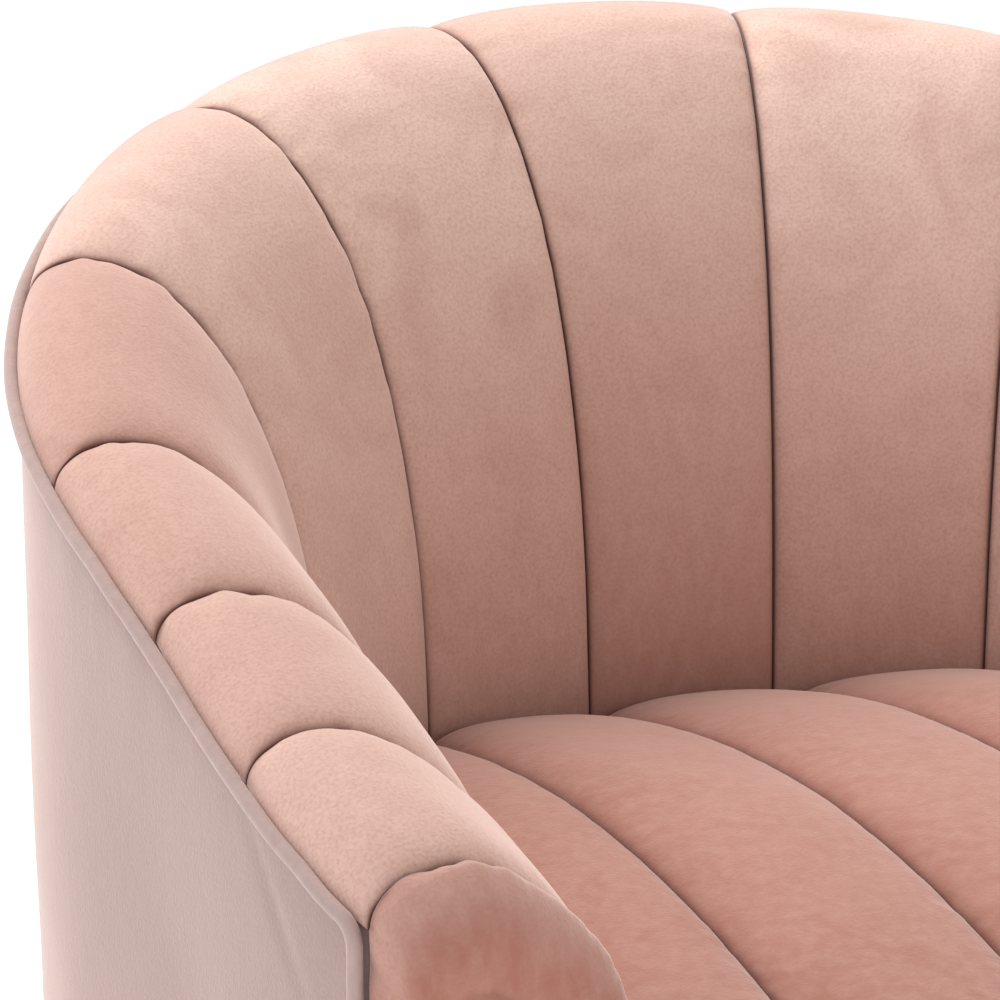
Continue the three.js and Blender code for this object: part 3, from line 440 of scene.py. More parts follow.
def eased_copy(node, material, width, body):
    """A copy of a rigid solid with its facets merged and its edges rounded over."""
    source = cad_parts[node]
    mesh = source.data.copy()
    work = bmesh.new()
    work.from_mesh(mesh)
    bmesh.ops.remove_doubles(work, verts=work.verts, dist=1e-5)
    bmesh.ops.dissolve_limit(work, angle_limit=math.radians(1.5), verts=work.verts, edges=work.edges)
    corner = math.radians(40)
    sharp = [e for e in work.edges if len(e.link_faces) == 2 and e.calc_face_angle(0) > corner]
    bmesh.ops.bevel(
        work, geom=sharp, offset=width, offset_type="OFFSET", segments=2, profile=0.5,
        affect="EDGES", clamp_overlap=True,
    )
    work.to_mesh(mesh)
    work.free()
    mesh.materials.clear()
    mesh.materials.append(MATERIALS[material])
    piece = bpy.data.objects.new(node + "_eased", mesh)
    bpy.context.scene.collection.objects.link(piece)
    sharpen_edges(piece)
    return settle(piece, body, material, node)


def cover(name, points, node, fill, seam=None, nap_and_painted_light=None, material=VELVET):
    """A velvet piece of the tub, from rings of points in mm."""
    piece = mesh_piece(name, points, ring_faces(*points.shape[:2]), material, seam, nap_and_painted_light=nap_and_painted_light)
    return settle(piece, "seat", material, node, fill=fill)


def turned(name, profile, centre, axis, material, sides=96):
    """A turned piece: radius and distance in mm along X or Z from the centre, in mm."""
    angle = np.linspace(0, 2 * math.pi, sides, endpoint=False)[:, None]
    radius, along = np.array(profile, float).T[:, None, :]
    across = (radius * np.cos(angle), radius * np.sin(angle), along + 0 * angle)
    order = (0, 1, 2) if axis == "Z" else (2, 0, 1)
    points = np.stack([across[i] for i in order], axis=-1) + np.array(centre, float)
    piece = mesh_piece(name, points, ring_faces(sides, len(profile), True), material)
    work = bmesh.new()
    work.from_mesh(piece.data)
    bmesh.ops.remove_doubles(work, verts=work.verts, dist=1e-6)
    bmesh.ops.dissolve_degenerate(work, edges=work.edges, dist=1e-7)
    bmesh.ops.delete(work, geom=[e for e in work.edges if not e.link_faces], context="EDGES")
    bmesh.ops.recalc_face_normals(work, faces=work.faces)
    work.to_mesh(piece.data)
    work.free()
    sharpen_edges(piece)
    return piece


def softened(corners, radius, steps=3):
    """Corner points of a closed profile with each corner cut to a small round."""
    result = []
    count = len(corners)
    for i, point in enumerate(corners):
        here = np.array(point, float)
        if here[0] == 0:
            result.append(tuple(here))
            continue
        before, after = np.array(corners[i - 1], float), np.array(corners[(i + 1) % count], float)
        cut = min(radius, np.linalg.norm(before - here) / 2.1, np.linalg.norm(after - here) / 2.1)
        a = here + (before - here) / max(np.linalg.norm(before - here), 1e-9) * cut
        b = here + (after - here) / max(np.linalg.norm(after - here), 1e-9) * cut
        for t in np.linspace(0, 1, steps):
            result.append(tuple((1 - t) ** 2 * a + 2 * t * (1 - t) * here + t * t * b))
    return result


# ---- Geometry Nodes: cords on a path, and things repeated along a path or at points ----
def new_tree(name, sockets):
    tree = bpy.data.node_groups.new(name, "GeometryNodeTree")
    tree.is_modifier = True
    tree.interface.new_socket("Geometry", in_out="INPUT", socket_type="NodeSocketGeometry")
    for label, kind in sockets:
        tree.interface.new_socket(label, in_out="INPUT", socket_type=kind)
    tree.interface.new_socket("Geometry", in_out="OUTPUT", socket_type="NodeSocketGeometry")
    return tree, add_node(tree, "NodeGroupInput").outputs


def end_tree(tree, geometry, material):
    real = add_node(tree, "GeometryNodeRealizeInstances", links={0: geometry}).outputs[0]
    painted = add_node(tree, "GeometryNodeSetMaterial", links={"Geometry": real, "Material": material})
    add_node(tree, "NodeGroupOutput", links={0: painted.outputs[0]})


def cord_tree():
    sockets = [("Radius", "NodeSocketFloat"), ("Sides", "NodeSocketInt"), ("Material", "NodeSocketMaterial")]
    tree, given = new_tree("Cord on a path", sockets)
    line = add_node(tree, "GeometryNodeMeshToCurve", links={"Mesh": given["Geometry"]}).outputs[0]
    links = {"Resolution": given["Sides"], "Radius": given["Radius"]}
    ring = add_node(tree, "GeometryNodeCurvePrimitiveCircle", links=links).outputs[0]
    links = {"Curve": line, "Profile Curve": ring}
    tube = add_node(tree, "GeometryNodeCurveToMesh", None, {"Fill Caps": True}, links).outputs[0]
    smooth = add_node(tree, "GeometryNodeSetShadeSmooth", links={0: tube})
    end_tree(tree, smooth.outputs[0], given["Material"])
    return tree


def items_tree(spaced):
    """Copies of an item at a mesh's points, or evenly spaced along its edges."""
    tree, given = new_tree(
        "Things along a path" if spaced else "Things at points",
        [("Item", "NodeSocketObject"), ("Spacing", "NodeSocketFloat"), ("Material", "NodeSocketMaterial")],
    )
    item = add_node(tree, "GeometryNodeObjectInfo", links={"Object": given["Item"]})
    links = {"Instance": item.outputs["Geometry"]}
    if spaced:
        line = add_node(tree, "GeometryNodeMeshToCurve", links={"Mesh": given["Geometry"]}).outputs[0]
        run = {"Curve": line, "Length": given["Spacing"]}
        spots = add_node(tree, "GeometryNodeCurveToPoints", {"mode": "LENGTH"}, None, run).outputs
        links.update({"Points": spots["Points"], "Rotation": spots["Rotation"]})
    else:
        spots = add_node(tree, "GeometryNodeMeshToPoints", links={"Mesh": given["Geometry"]}).outputs
        links["Points"] = spots[0]
    row = add_node(tree, "GeometryNodeInstanceOnPoints", links=links)
    end_tree(tree, row.outputs[0], given["Material"])
    return tree


def run_tree(tree, name, points, edges, values):
    """Run a tree on a line or points in mm, and keep the result as a plain mesh."""
    mesh = bpy.data.meshes.new(name)
    mesh.from_pydata((np.asarray(points, float).reshape(-1, 3) * MM).tolist(), edges, [])
    piece = bpy.data.objects.new(name, mesh)
    bpy.context.scene.collection.objects.link(piece)
    modifier = piece.modifiers.new("Build", "NODES")
    modifier.node_group = tree
    for socket in tree.interface.items_tree:
        if socket.in_out == "INPUT" and socket.name in values:
            modifier[socket.identifier] = values[socket.name]
    graph = bpy.context.evaluated_depsgraph_get()
    made = bpy.data.meshes.new_from_object(piece.evaluated_get(graph), depsgraph=graph)
    piece.modifiers.clear()
    piece.data = made
    if not len(made.polygons):
        raise RuntimeError(f"{name} came out empty")
    return piece


def path_edges(count, closed=False):
    edges = [(i, i + 1) for i in range(count - 1)]
    return edges + [(count - 1, 0)] if closed else edges


def copies(name, item, points, material, body, spacing=None):
    """Put the item at each point, or spaced round the closed line of points, and drop the item."""
    values = {"Item": item, "Material": MATERIALS[material]}
    edges = []
    if spacing:
        values["Spacing"] = spacing
        edges = path_edges(len(points), True)
    piece = run_tree(items_tree(bool(spacing)), name, points, edges, values)
    bpy.data.objects.remove(item)
    return settle(piece, body, material)


# ---- Padding ----
def pad_rows(r, seam_rows=96, roll_rows=22):
    """The padding's outer face at each station, from its foot up the wall and over the crest."""
    foot_z = np.linspace(SEAT_FOOT, SEAT_EDGE, 9)[None, :-1]
    parts = [(-r.depth + 0 * foot_z, foot_z + 0 * r.depth)]
    parts.append(wall(r, np.linspace(0, 1, seam_rows)[None, :]))
    a = np.linspace(0, math.pi / 2, roll_rows)[None, 1:]
    parts.append((ROLL_OUT * np.sin(a) + 0 * r.crest, r.crest - ROLL_DOWN * (1 - np.cos(a))))
    out = np.concatenate([p[0] for p in parts], axis=1)
    z = np.concatenate([p[1] for p in parts], axis=1)
    return out, z


def outward(out, z):
    """The outward direction of each section, as out and up."""
    step_out, step_z = np.gradient(out, axis=1), np.gradient(z, axis=1)
    size = np.hypot(step_out, step_z)
    return -step_z / size, step_out / size


def pad_back(r):
    """Points of the pad's hidden side, from under the welt down to its foot."""
    flat = 0 * r.crest
    inner = ROLL_OUT - PANEL_THICK - 0.3 + flat
    rows = [(inner, r.crest - ROLL_DOWN - 4)]
    rows += [(inner, r.crest - PAD_OVER_RAIL), (flat - RAIL_REACH, r.crest - PAD_OVER_RAIL)]
    for t in (0.5, 0.25):
        o0, z0 = wall(r, t)
        o1, z1 = wall(r, t + 0.01)
        thick = PAD_THICK / np.hypot(o1 - o0, z1 - z0)
        rows.append((np.minimum(o0 + (z1 - z0) * thick, -RAIL_REACH), z0 - (o1 - o0) * thick))
    rows += [(PAD_THICK - r.depth, SEAT_EDGE + flat), (PAD_THICK - r.depth, SEAT_FOOT + flat)]
    return rows


def channel_pad(k, sizes):
    """One stuffed channel: domed between its seams, puckered where it turns over the rim."""
    middle = 34
    v = np.sin(np.linspace(-1, 1, 2 * middle + 1) * math.pi / 2)
    v = np.sign(v) * (0.35 * np.abs(v) + 0.65 * np.abs(v) ** 0.9)
    gap = 0.3 / ARM_PITCH
    u = (k + v * (0.5 - gap))[:, None]
    r = rim(u)
    out, z = pad_rows(r)
    n_out, n_z = outward(out, z)
    edge = np.abs(v)[:, None]
    pitch = math.hypot(*(at_rim(rim(k + 0.5), 0, 0) - at_rim(rim(k - 0.5), 0, 0))[:2])
    away = (1 - edge) * pitch / 2
    run = np.hypot(np.gradient(out[middle]), np.gradient(z[middle])).cumsum()[None, :]
    share = run / run[0, -1]
    over = ease(0.45, 0.85, share)
    rise, seam = sizes.channel_rise / MM, sizes.channel_seam / MM
    rise = rise - 1.5 * ease(3.0, 4.5, abs(k))
    seam = seam + 1.5 * ease(3.0, 4.5, abs(k))
    drawn = ARM_DRAWN_IN * ease(4.0, 6.5, np.abs(u)) * ease(-15, -60, out)
    dome = (1 - edge**3.3) ** 0.5
    show = 0.2 + 0.8 * ease(SEAT_EDGE - 20, SEAT_EDGE + 60, z)
    tuck = 1 - 0.85 * ease(0.9, 1.0, share)
    height = (-seam + (rise + seam) * dome) * show * tuck
    side = 40 * np.sign(v)[:, None] + 200 * k
    folds = soft_noise(run, side, 12, 11) + 0.5 * soft_noise(run, side, 6, 12)
    pucker = sizes.pucker / MM * folds * np.exp(-away / 11)
    pucker = pucker * (0.22 + 0.95 * over) * (1 - np.exp(-away / 1.2))
    drift = 0.9 * soft_noise(run, v[:, None] * pitch / 2 + 500 * k, 62, 13)
    height = height + pucker + (drift * dome * tuck - drawn) * show
    out, z = out + n_out * height, z + n_z * height
    back = pad_back(r)
    out = np.concatenate([out] + [b[0] for b in back], axis=1)
    z = np.concatenate([z] + [b[1] for b in back], axis=1)
    points = at_rim(r, out, z)
    hidden = np.zeros((len(v), len(back)))
    # Painted shade: darker in and beside the seams.
    seam_shade = np.exp(-away / 1.1) * 0.9 + 0.07 * np.exp(-away / 5)
    seam_shade = np.concatenate([seam_shade + 0 * run, hidden], axis=1)
    # Painted sheen and light: each channel has its own lightness, growing towards the crest where the light
    # falls on top.
    nap_and_painted_light = 0.21 + 0.3 * ease(0.15, 0.5, share) + WALL_PAINTED_LIGHT[abs(k)] + CREST_PAINTED_LIGHT[abs(k)] * ease(0.42, 0.8, share)
    nap_and_painted_light = np.concatenate([nap_and_painted_light + 0 * edge, hidden], axis=1)
    # The cloth at each side turns in along the seam.
    deep = points[[0, -1]].copy()
    for row, column in ((0, 0), (1, -1)):
        lean = SimpleNamespace(x=0, y=0, nx=r.nx[column], ny=r.ny[column], tx=0, ty=0)
        deep[row, : len(share[0])] -= SEAM_TURN_IN * at_rim(lean, n_out[column], n_z[column])
    points = np.concatenate([deep[:1], points, deep[1:]])
    # The turned-in rows take the full painted seam shade.
    seam_shaded = np.ones((1, seam_shade.shape[1]))
    seam_shade = np.concatenate([seam_shaded, seam_shade, seam_shaded])
    nap_and_painted_light = np.concatenate([nap_and_painted_light[:1], nap_and_painted_light, nap_and_painted_light[-1:]])
    word = "middle" if k == 0 else ("right_" if k > 0 else "left_") + str(abs(k))
    return cover("channel_pad_" + word, points, "back_channel_" + word, 0.8, seam_shade, nap_and_painted_light)


def arm_front_pad(side, word, sizes):
    """The last channel rolls over the end of the arm and down its front as one crowned roll."""
    r = rim(np.array([[side * END]]))
    foot_rows = 8
    out, z = (rows[:, foot_rows:] for rows in pad_rows(r, 80, 22))
    inner_z = np.linspace(UNDERSIDE, SEAT_EDGE, 60)[None, :-1]
    outer_z = np.linspace(r.crest[0, 0] - ROLL_DOWN, UNDERSIDE, 70)[None, 1:]
    out = np.concatenate([-r.depth + 0 * inner_z, out, panel_out(r, outer_z)], axis=1)
    z = np.concatenate([inner_z, z, outer_z], axis=1)
    n_out, n_z = outward(out, z)
    phi = np.concatenate([[0.0, 0.02, 0.05], np.linspace(0.1, math.pi / 2, 30)])[:, None]
    s = np.sin(phi)
    shrink = 1 - np.cos(phi)
    half = (ROLL_OUT + r.depth) / 2
    o = out * (1 - ARM_FRONT_SIDE / half * shrink)
    h = UNDERSIDE + (z - UNDERSIDE) * (1 - ARM_FRONT_TOP / (r.crest - UNDERSIDE) * shrink)
    rise, seam = sizes.channel_rise / MM, sizes.channel_seam / MM
    high = ease(UNDERSIDE + 200, SEAT_EDGE + 60, z)
    foot = seam + 1.5
    swell = (rise * 0.5 + foot) * np.clip(s * 3.2, 0, 1) ** 0.5 - foot
    run = np.hypot(np.gradient(out[0]), np.gradient(z[0])).cumsum()[None, :]
    away = s * ARM_FRONT
    folds = soft_noise(run, 900 * side, 9, 21) + 0.6 * soft_noise(run, 900 * side, 5, 22)
    pucker = 1.3 * sizes.pucker / MM * folds * np.exp(-away / 10) * (1 - np.exp(-away / 1.5))
    drift = 0.9 * soft_noise(run, away + 300 * side, 48, 23) * ease(0.1, 0.5, s)
    swell = swell * (1 - 0.75 * ease(-6, 10, out) * (1 - ease(0.6, 1, s)))
    height = (swell + pucker - ARM_DRAWN_IN * ease(-15, -60, out)) * high + drift
    o, h = o + n_out * height, np.maximum(h + n_z * height, UNDERSIDE)
    points = [at_rim(r, o, h, 0.3 + s * (ARM_FRONT - 0.3))]
    # Painted shade: darker along the seam at the top of the arm front.
    seam_shade = np.exp(-away / 1.8) * 0.85 + 0.18 * np.exp(-away / 7) + 0 * o
    middle = (o[-1].min() + o[-1].max()) / 2
    spine_z = np.clip(h[-1:], UNDERSIDE, h.max() - half[0, 0])
    face = np.linspace(0.96, 0.04, 16)
    for q in face:
        across = middle + (o[-1:] - middle) * q
        upward = spine_z + (h[-1:] - spine_z) * q
        points.append(at_rim(r, across, upward, ARM_FRONT + 5.5 * (1 - q**2)))
    points = np.concatenate(points)
    seam_shade = np.concatenate([seam_shade, np.zeros((len(face), seam_shade.shape[1]))]) * high
    turned_in = ease(0.5, 1.0, np.concatenate([s, np.ones((len(face), 1))]))
    crest = r.crest[0, 0]
    # Painted light: lighter near the top where the roll leaves the last channel, fading out across the front
    # face.
    nap_and_painted_light = 0.32 * ease(crest - 70, crest - 20, points[..., 2]) * (1 - turned_in)
    return cover("arm_front_" + word, points, "arm_front_pad_" + word, 0.8, seam_shade, nap_and_painted_light)


def cushion_edges():
    """Where the padding's inner line crosses each x: the front and the rear crossing."""
    u = np.linspace(0, END - 0.02, 500)
    r = rim(u)
    line = at_rim(r, -r.depth - 0.6, 0)
    widest = int(np.argmax(-line[:, 0]))
    return -line[:, 0], line[:, 1], widest


def seat_cushion(sizes):
    """The stuffed seat: five channels from front to back, crowned, with a rolled nose."""
    low, high = (np.array(p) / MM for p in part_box("seat_cushion"))
    wx, wy, widest = cushion_edges()
    reach = high[0] - 0.2
    seams = [-reach, *(SEAT_PITCH * i for i in (-1.5, -0.5, 0.5, 1.5)), reach]
    columns, local, widths = [], [], []
    for a, b in zip(seams, seams[1:]):
        v = np.sin(np.linspace(-1, 1, 41) * math.pi / 2)
        columns.append((a + b) / 2 + v * (b - a) / 2)
        local.append(v)
        widths.append(np.full(41, (b - a) / 2))
    x, v, w = (np.concatenate(c) for c in (columns, local, widths))
    keep = np.concatenate([[True], np.diff(x) > 1e-6])
    x, v, w = x[keep][:, None], v[keep][:, None], w[keep][:, None]
    far = np.abs(x)
    nose = low[1] + 3
    rear = np.interp(far, wx[: widest + 1], wy[: widest + 1])
    wall_front = np.interp(far, wx[widest:][::-1], wy[widest:][::-1])
    _, between, _ = inner_front()
    corner = nose + 30 * (far / between) ** 10
    front = np.where(far > between, np.maximum(wall_front, low[1] + 34), corner)
    front = np.minimum(front, rear - 60)
    away = (1 - np.abs(v)) * w
    dome = (1 - np.abs(v) ** 2.6) ** 0.55
    rise, seam = sizes.seat_rise / MM, sizes.seat_seam / MM
    bulge = -seam + (rise + seam) * dome
    centre, span = (high[1] + low[1]) / 2, (high[1] - low[1]) / 2

    def top(y):
        qy = np.clip(np.abs(y - centre) / span, 0, 1.1)
        return SEAT_EDGE + SEAT_CROWN * (1 - qy**2) * (1 - 0.75 * (far / reach) ** 7)

    round_rear, roll = SEAT_REAR_ROUND, NOSE_ROUND
    base = SEAT_FOOT + 0 * far
    rear_top, nose_top = top(rear) - round_rear, top(front + roll) - roll
    t = np.linspace(0, 1, 10)[None, :-1]
    parts = [(rear + 0 * t, base + (rear_top - base) * t, -1 + 0 * t, 0 * t)]
    a = np.linspace(0, math.pi / 2, 12)[None, :-1]
    crest = rear_top + round_rear * np.sin(a)
    parts.append((rear - round_rear * (1 - np.cos(a)), crest, np.cos(a), np.sin(a)))
    t = np.linspace(0, 1, 150)[None, :]
    y = (rear - round_rear) * (1 - t) + (front + roll) * t
    parts.append((y, top(y), 0 * y, 1 + 0 * y))
    a = np.linspace(0, math.pi / 2, 30)[None, 1:]
    crest = nose_top + roll * np.cos(a)
    parts.append((front + roll * (1 - np.sin(a)), crest, -np.sin(a), np.cos(a)))
    t = np.linspace(0, 1, 18)[None, 1:]
    parts.append((front + 0 * t, nose_top + (base - nose_top) * t, -1 + 0 * t, 0 * t))
    y, z, n_y, n_z = (
        np.concatenate([np.broadcast_to(p[i], (len(x), p[i].shape[1])) for p in parts], axis=1)
        for i in range(4)
    )
    n_y = n_y.copy()
    n_y[:, :9] = 1
    run = np.hypot(np.gradient(y[100]), np.gradient(z[100])).cumsum()[None, :]
    share = run / run[0, -1]
    show = ease(0.0, 0.02, (z - base) / 140) * (1 - ease(0.93, 1, share))
    folds = soft_noise(run, 50 * np.sign(v) + x.round(-2), 11, 31) + 0.5 * soft_noise(run, x, 5, 32)
    bend = ease(0.62, 0.72, share) + 1 - ease(0.1, 0.24, share)
    pucker = 1.1 * sizes.pucker / MM * folds * np.exp(-away / 10) * (0.3 + bend)
    pucker = pucker * (1 - np.exp(-away / 1.4))
    drift = 1.6 * soft_noise(run, x, 75, 33)
    height = (bulge + drift * dome) * show + pucker * show
    height = np.where(n_y > 0.5, np.minimum(height, 1.0), height)
    # The nose widens between the arm fronts so that no gap shows beside it.
    ears = 1 + 0.095 * ease(0, 34, low[1] + 62 - y) * ease(between - 60, between, far)
    z = np.maximum(z + n_z * height, SEAT_FOOT)
    points = np.stack(np.broadcast_arrays(x * ears, y + n_y * height, z), axis=-1)
    # Painted shade: darker in and beside the seat's seams.
    seam_shade = (np.exp(-away / 1.6) * 0.85 + 0.2 * np.exp(-away / 8)) * (show > 0.01) + 0 * run
    # Painted light: the seat stays near the deep colour, a little lighter on the middle of each channel.
    nap_and_painted_light = 0.02 + 0.10 * dome + 0 * run
    return cover("seat_cushion_pad", points, "seat_cushion", 0.75, seam_shade, nap_and_painted_light)


def outside_panel(name, start, stop, node):
    """A smooth cover over the frame's outside, tucked under the welt and pulled in at its seams."""
    gap = 0.2 / ARM_PITCH
    count = int((stop - start) * 34)
    u = np.linspace(start + gap, stop - gap, count)[:, None]
    r = rim(u)
    z = UNDERSIDE + (r.crest - ROLL_DOWN - 0.3 - UNDERSIDE) * np.linspace(0, 1, 90)[None, :] ** 0.97
    out = panel_out(r, z)
    base = at_rim(r, 0, 0)[:, :, :2]
    run = np.concatenate([[0], np.hypot(*np.diff(base[:, 0], axis=0).T)]).cumsum()[:, None]
    side = np.minimum(run, run[-1] - run)
    up = r.crest - ROLL_DOWN - z
    pull = -1.6 * np.exp(-side / 3.0) - 1.3 * np.exp(-up / 3.5) - 1.6 * np.exp(-(z - UNDERSIDE) / 4)
    drift = 1.3 * soft_noise(run, z, 120, 41) + 0.5 * soft_noise(run, z, 46, 42)
    soft = drift * ease(0, 25, side) * ease(0, 18, up)
    waves = 0.35 * soft_noise(run, 0 * z, 17, 43) * np.exp(-up / 22)
    crease = 0 * z
    for sign, at, drop, slope in ((1, 5.75, 34, 0.85), (-1, 5.6, 46, 0.7)):
        far = (np.abs(u) - at) * ARM_PITCH
        line = up - drop - slope * far
        fold = np.exp(-((line / 5) ** 2)) * np.exp(-((far / 26) ** 2))
        crease = crease - (np.sign(u) == sign) * 1.1 * fold
    inside = at_rim(r, out - PANEL_THICK, z)[:, ::-12]
    points = np.concatenate([at_rim(r, out + pull + soft + waves + crease, z), inside], axis=1)
    hidden = np.zeros(inside.shape[:2])
    # Painted shade: darker at the panel's seams and under the welt.
    seam_shade = np.concatenate([0.7 * np.exp(-side / 1.5) + 0.5 * np.exp(-up / 1.6), hidden], axis=1)
    # Painted light: lighter towards the top.
    nap_and_painted_light = np.concatenate([0.3 + 0.5 * (z - UNDERSIDE) / 600, hidden], axis=1)
    return cover(name, points, node, 0.95, seam_shade, nap_and_painted_light, OUTSIDE_VELVET)


def welt_path():
    """The welt's line: up one arm front, round the whole rim, and down the other arm front."""
    radius = 3.0
    corner = 9.0
    u = np.linspace(-END, END, 620)
    r = rim(u)
    line = at_rim(r, ROLL_OUT + radius + 0.6, r.crest - ROLL_DOWN)
    end = rim(np.array([END]))
    z = np.linspace(UNDERSIDE + 0.5, float(end.crest[0]) - ROLL_DOWN - corner, 90)
    posts = []
    for side in (-1, 1):
        e = rim(np.full(len(z), side * END))
        posts.append(at_rim(e, panel_out(e, z) + radius + 0.3, z, -radius))
    run = np.concatenate([[0], np.linalg.norm(np.diff(line, axis=0), axis=1)]).cumsum()
    kept = line[(run > corner) & (run < run[-1] - corner)]

    def bend(a, b, tip):
        t = np.linspace(0, 1, 9)[1:-1, None]
        return (1 - t) ** 2 * a + 2 * t * (1 - t) * tip + t * t * b

    left_tip = posts[0][-1] + (0, 0, corner)
    right_tip = posts[1][-1] + (0, 0, corner)
    left = bend(posts[0][-1], kept[0], left_tip)
    right = bend(kept[-1], posts[1][-1], right_tip)
    return np.concatenate([posts[0], left, kept, right, posts[1][::-1]])


def welt(sizes):
    path = welt_path()
    run = np.arange(len(path)) * 2.6
    path = path + np.stack([soft_noise(run, i, 26, 51 + i) * 0.25 for i in range(3)], axis=1)
    values = {"Radius": sizes.welt_radius, "Sides": 14, "Material": MATERIALS[WELT_VELVET]}
    piece = run_tree(cord_tree(), "corded_welt", path, path_edges(len(path)), values)
    return settle(piece, "seat", WELT_VELVET, "rim_piping", "arm_piping_left", "arm_piping_right")


def front_border(sizes):
    """The padded border under the seat, between the arm fronts."""
    low, high = (np.array(p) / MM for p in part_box("front_border"))
    reach = high[0] + 3
    x = np.linspace(-reach, reach, 160)[:, None]
    z = np.linspace(low[2], high[2], 90)[None, :]
    up = (z - low[2]) / (high[2] - low[2])
    side = reach - np.abs(x)
    crown = sizes.border_crown / MM * (1 - (2 * up - 1) ** 6) * (1 - (x / reach) ** 10)
    soft = 0.9 * soft_noise(x, z, 70, 61) + 0.3 * soft_noise(x, z, 26, 62) * np.exp(-(high[2] - z) / 40)
    y = low[1] + 2 - crown - soft * (1 - (2 * up - 1) ** 8)
    y = y + 3.0 * np.exp(-side / 4)
    back = np.full((len(x), 8), high[1])
    rows = ((y, z), (back, np.linspace(high[2], low[2], 8)[None, :]))
    points = np.concatenate([np.stack(np.broadcast_arrays(x, *row), axis=-1) for row in rows], axis=1)
    # Painted light: one even lightness of the velvet for the whole border.
    nap_and_painted_light = np.full(points.shape[:2], 0.22)
    return cover("front_border_cover", points, "front_border", 0.9, nap_and_painted_light=nap_and_painted_light)


# ---- Floor, lights and camera ----
FLOOR_REACH = 2e4
LIGHTS = (
    ("overhead_softbox", (-0.5, 1.3, 2.6), (0, 0, 0.5), (2.6, 1.8), 84, "#fffaf6"),
    ("side_softbox", (-2.6, -0.6, 1.5), (0, 0, 0.5), (1.8, 1.8), 13, "#f4f5ff"),
    ("front_fill", (0.9, -3.4, 1.3), (0, 0, 0.55), (2.4, 1.6), 31, "#fff7f0"),
)
CAMERA_AZIMUTH, CAMERA_ELEVATION, CAMERA_DISTANCE = -21.441, 14.202, 1.9498
# Lens length in frame widths, and how far right and down of the middle its mark lies
LENS, MARK_RIGHT, MARK_DOWN = 4.3445, 0.3586, 0.3295
SENSOR = 36


def add_floor():
    n = FLOOR_REACH
    corners = [(-n, -n, 0), (n, -n, 0), (n, n, 0), (-n, n, 0)]
    floor = mesh_piece("studio_floor", corners, [(0, 1, 2, 3)], FLOOR, smooth=False)
    if floor.data.polygons[0].normal.z < 0:
        floor.data.flip_normals()


def add_lights(scene):
    for name, place, aim, size, watts, code in LIGHTS:
        lamp = bpy.data.lights.new(name, "AREA")
        lamp.shape = "RECTANGLE"
        lamp.size, lamp.size_y = size
        lamp.energy = watts
        lamp.color = linear(code)[:3]
        holder = bpy.data.objects.new(name, lamp)
        holder.location = place
        holder.rotation_euler = (Vector(aim) - Vector(place)).to_track_quat("-Z", "Y").to_euler()
        scene.collection.objects.link(holder)
    world = bpy.data.worlds.new("studio")
    world.use_nodes = True
    sky = world.node_tree.nodes["Background"]
    sky.inputs["Color"].default_value = linear("#ffffff")
    sky.inputs["Strength"].default_value = 0.42
    scene.world = world
    scene.view_settings.view_transform = "Standard"


def add_camera(scene):
    """A long lens on the upper left of the chair, from the sitter's front right."""
    azimuth, elevation = math.radians(CAMERA_AZIMUTH), math.radians(CAMERA_ELEVATION)
    back = Vector((
        math.sin(azimuth) * math.cos(elevation),
        -math.cos(azimuth) * math.cos(elevation),
        math.sin(elevation),
    ))
    right = Vector((math.cos(azimuth), math.sin(azimuth), 0))
    up = back.cross(right)
    ray = -back + right * (MARK_RIGHT / LENS) - up * (MARK_DOWN / LENS)
    place = Vector((0, SHIFT - 330.0, 440)) * MM - ray * CAMERA_DISTANCE
    lens = bpy.data.cameras.new("studio_camera")
    lens.sensor_width = SENSOR
    lens.lens = SENSOR * LENS
    lens.clip_end = 60
    camera = bpy.data.objects.new("studio_camera", lens)
    camera.matrix_world = Matrix.Translation(place) @ Matrix((right, up, back)).transposed().to_4x4()
    scene.collection.objects.link(camera)
    scene.camera = camera


# ---- Operators: one for each group of pieces ----
class BuildPads(bpy.types.Operator):
    """Build the channel pads round the back and arms."""

    bl_idname = "nursery_chair.channel_pads"
    bl_label = "Channel pads"

    def execute(self, context):
        for k in range(-CHANNELS, CHANNELS + 1):
            channel_pad(k, context.scene.chair_sizes)
        return {"FINISHED"}


class BuildArmFronts(bpy.types.Operator):
    """Build the two rolled arm fronts."""

    bl_idname = "nursery_chair.arm_fronts"
    bl_label = "Arm fronts"

    def execute(self, context):
        for side, word in ((1, "right"), (-1, "left")):
            arm_front_pad(side, word, context.scene.chair_sizes)
        return {"FINISHED"}


class BuildSeat(bpy.types.Operator):
    """Build the seat cushion and the border under it."""

    bl_idname = "nursery_chair.seat"
    bl_label = "Seat and border"

    def execute(self, context):
        seat_cushion(context.scene.chair_sizes)
        front_border(context.scene.chair_sizes)
        return {"FINISHED"}


class BuildOutside(bpy.types.Operator):
    """Build the outside panels and the corded welt."""

    bl_idname = "nursery_chair.outside"
    bl_label = "Outside panels and welt"

    def execute(self, context):
        outside_panel("outside_cover_right", 2.5, END, "outside_panel_right")
        outside_panel("outside_cover_left", -END, -2.5, "outside_panel_left")
        outside_panel("outside_cover_rear", -2.5, 2.5, "outside_panel_rear")
        welt(context.scene.chair_sizes)
        return {"FINISHED"}


class BuildStage(bpy.types.Operator):
    """Lay the pale floor, hang the studio lights and set the camera."""

    bl_idname = "nursery_chair.stage"
    bl_label = "Floor, lights and camera"

    def execute(self, context):
        add_floor()
        add_lights(context.scene)
        add_camera(context.scene)
        return {"FINISHED"}


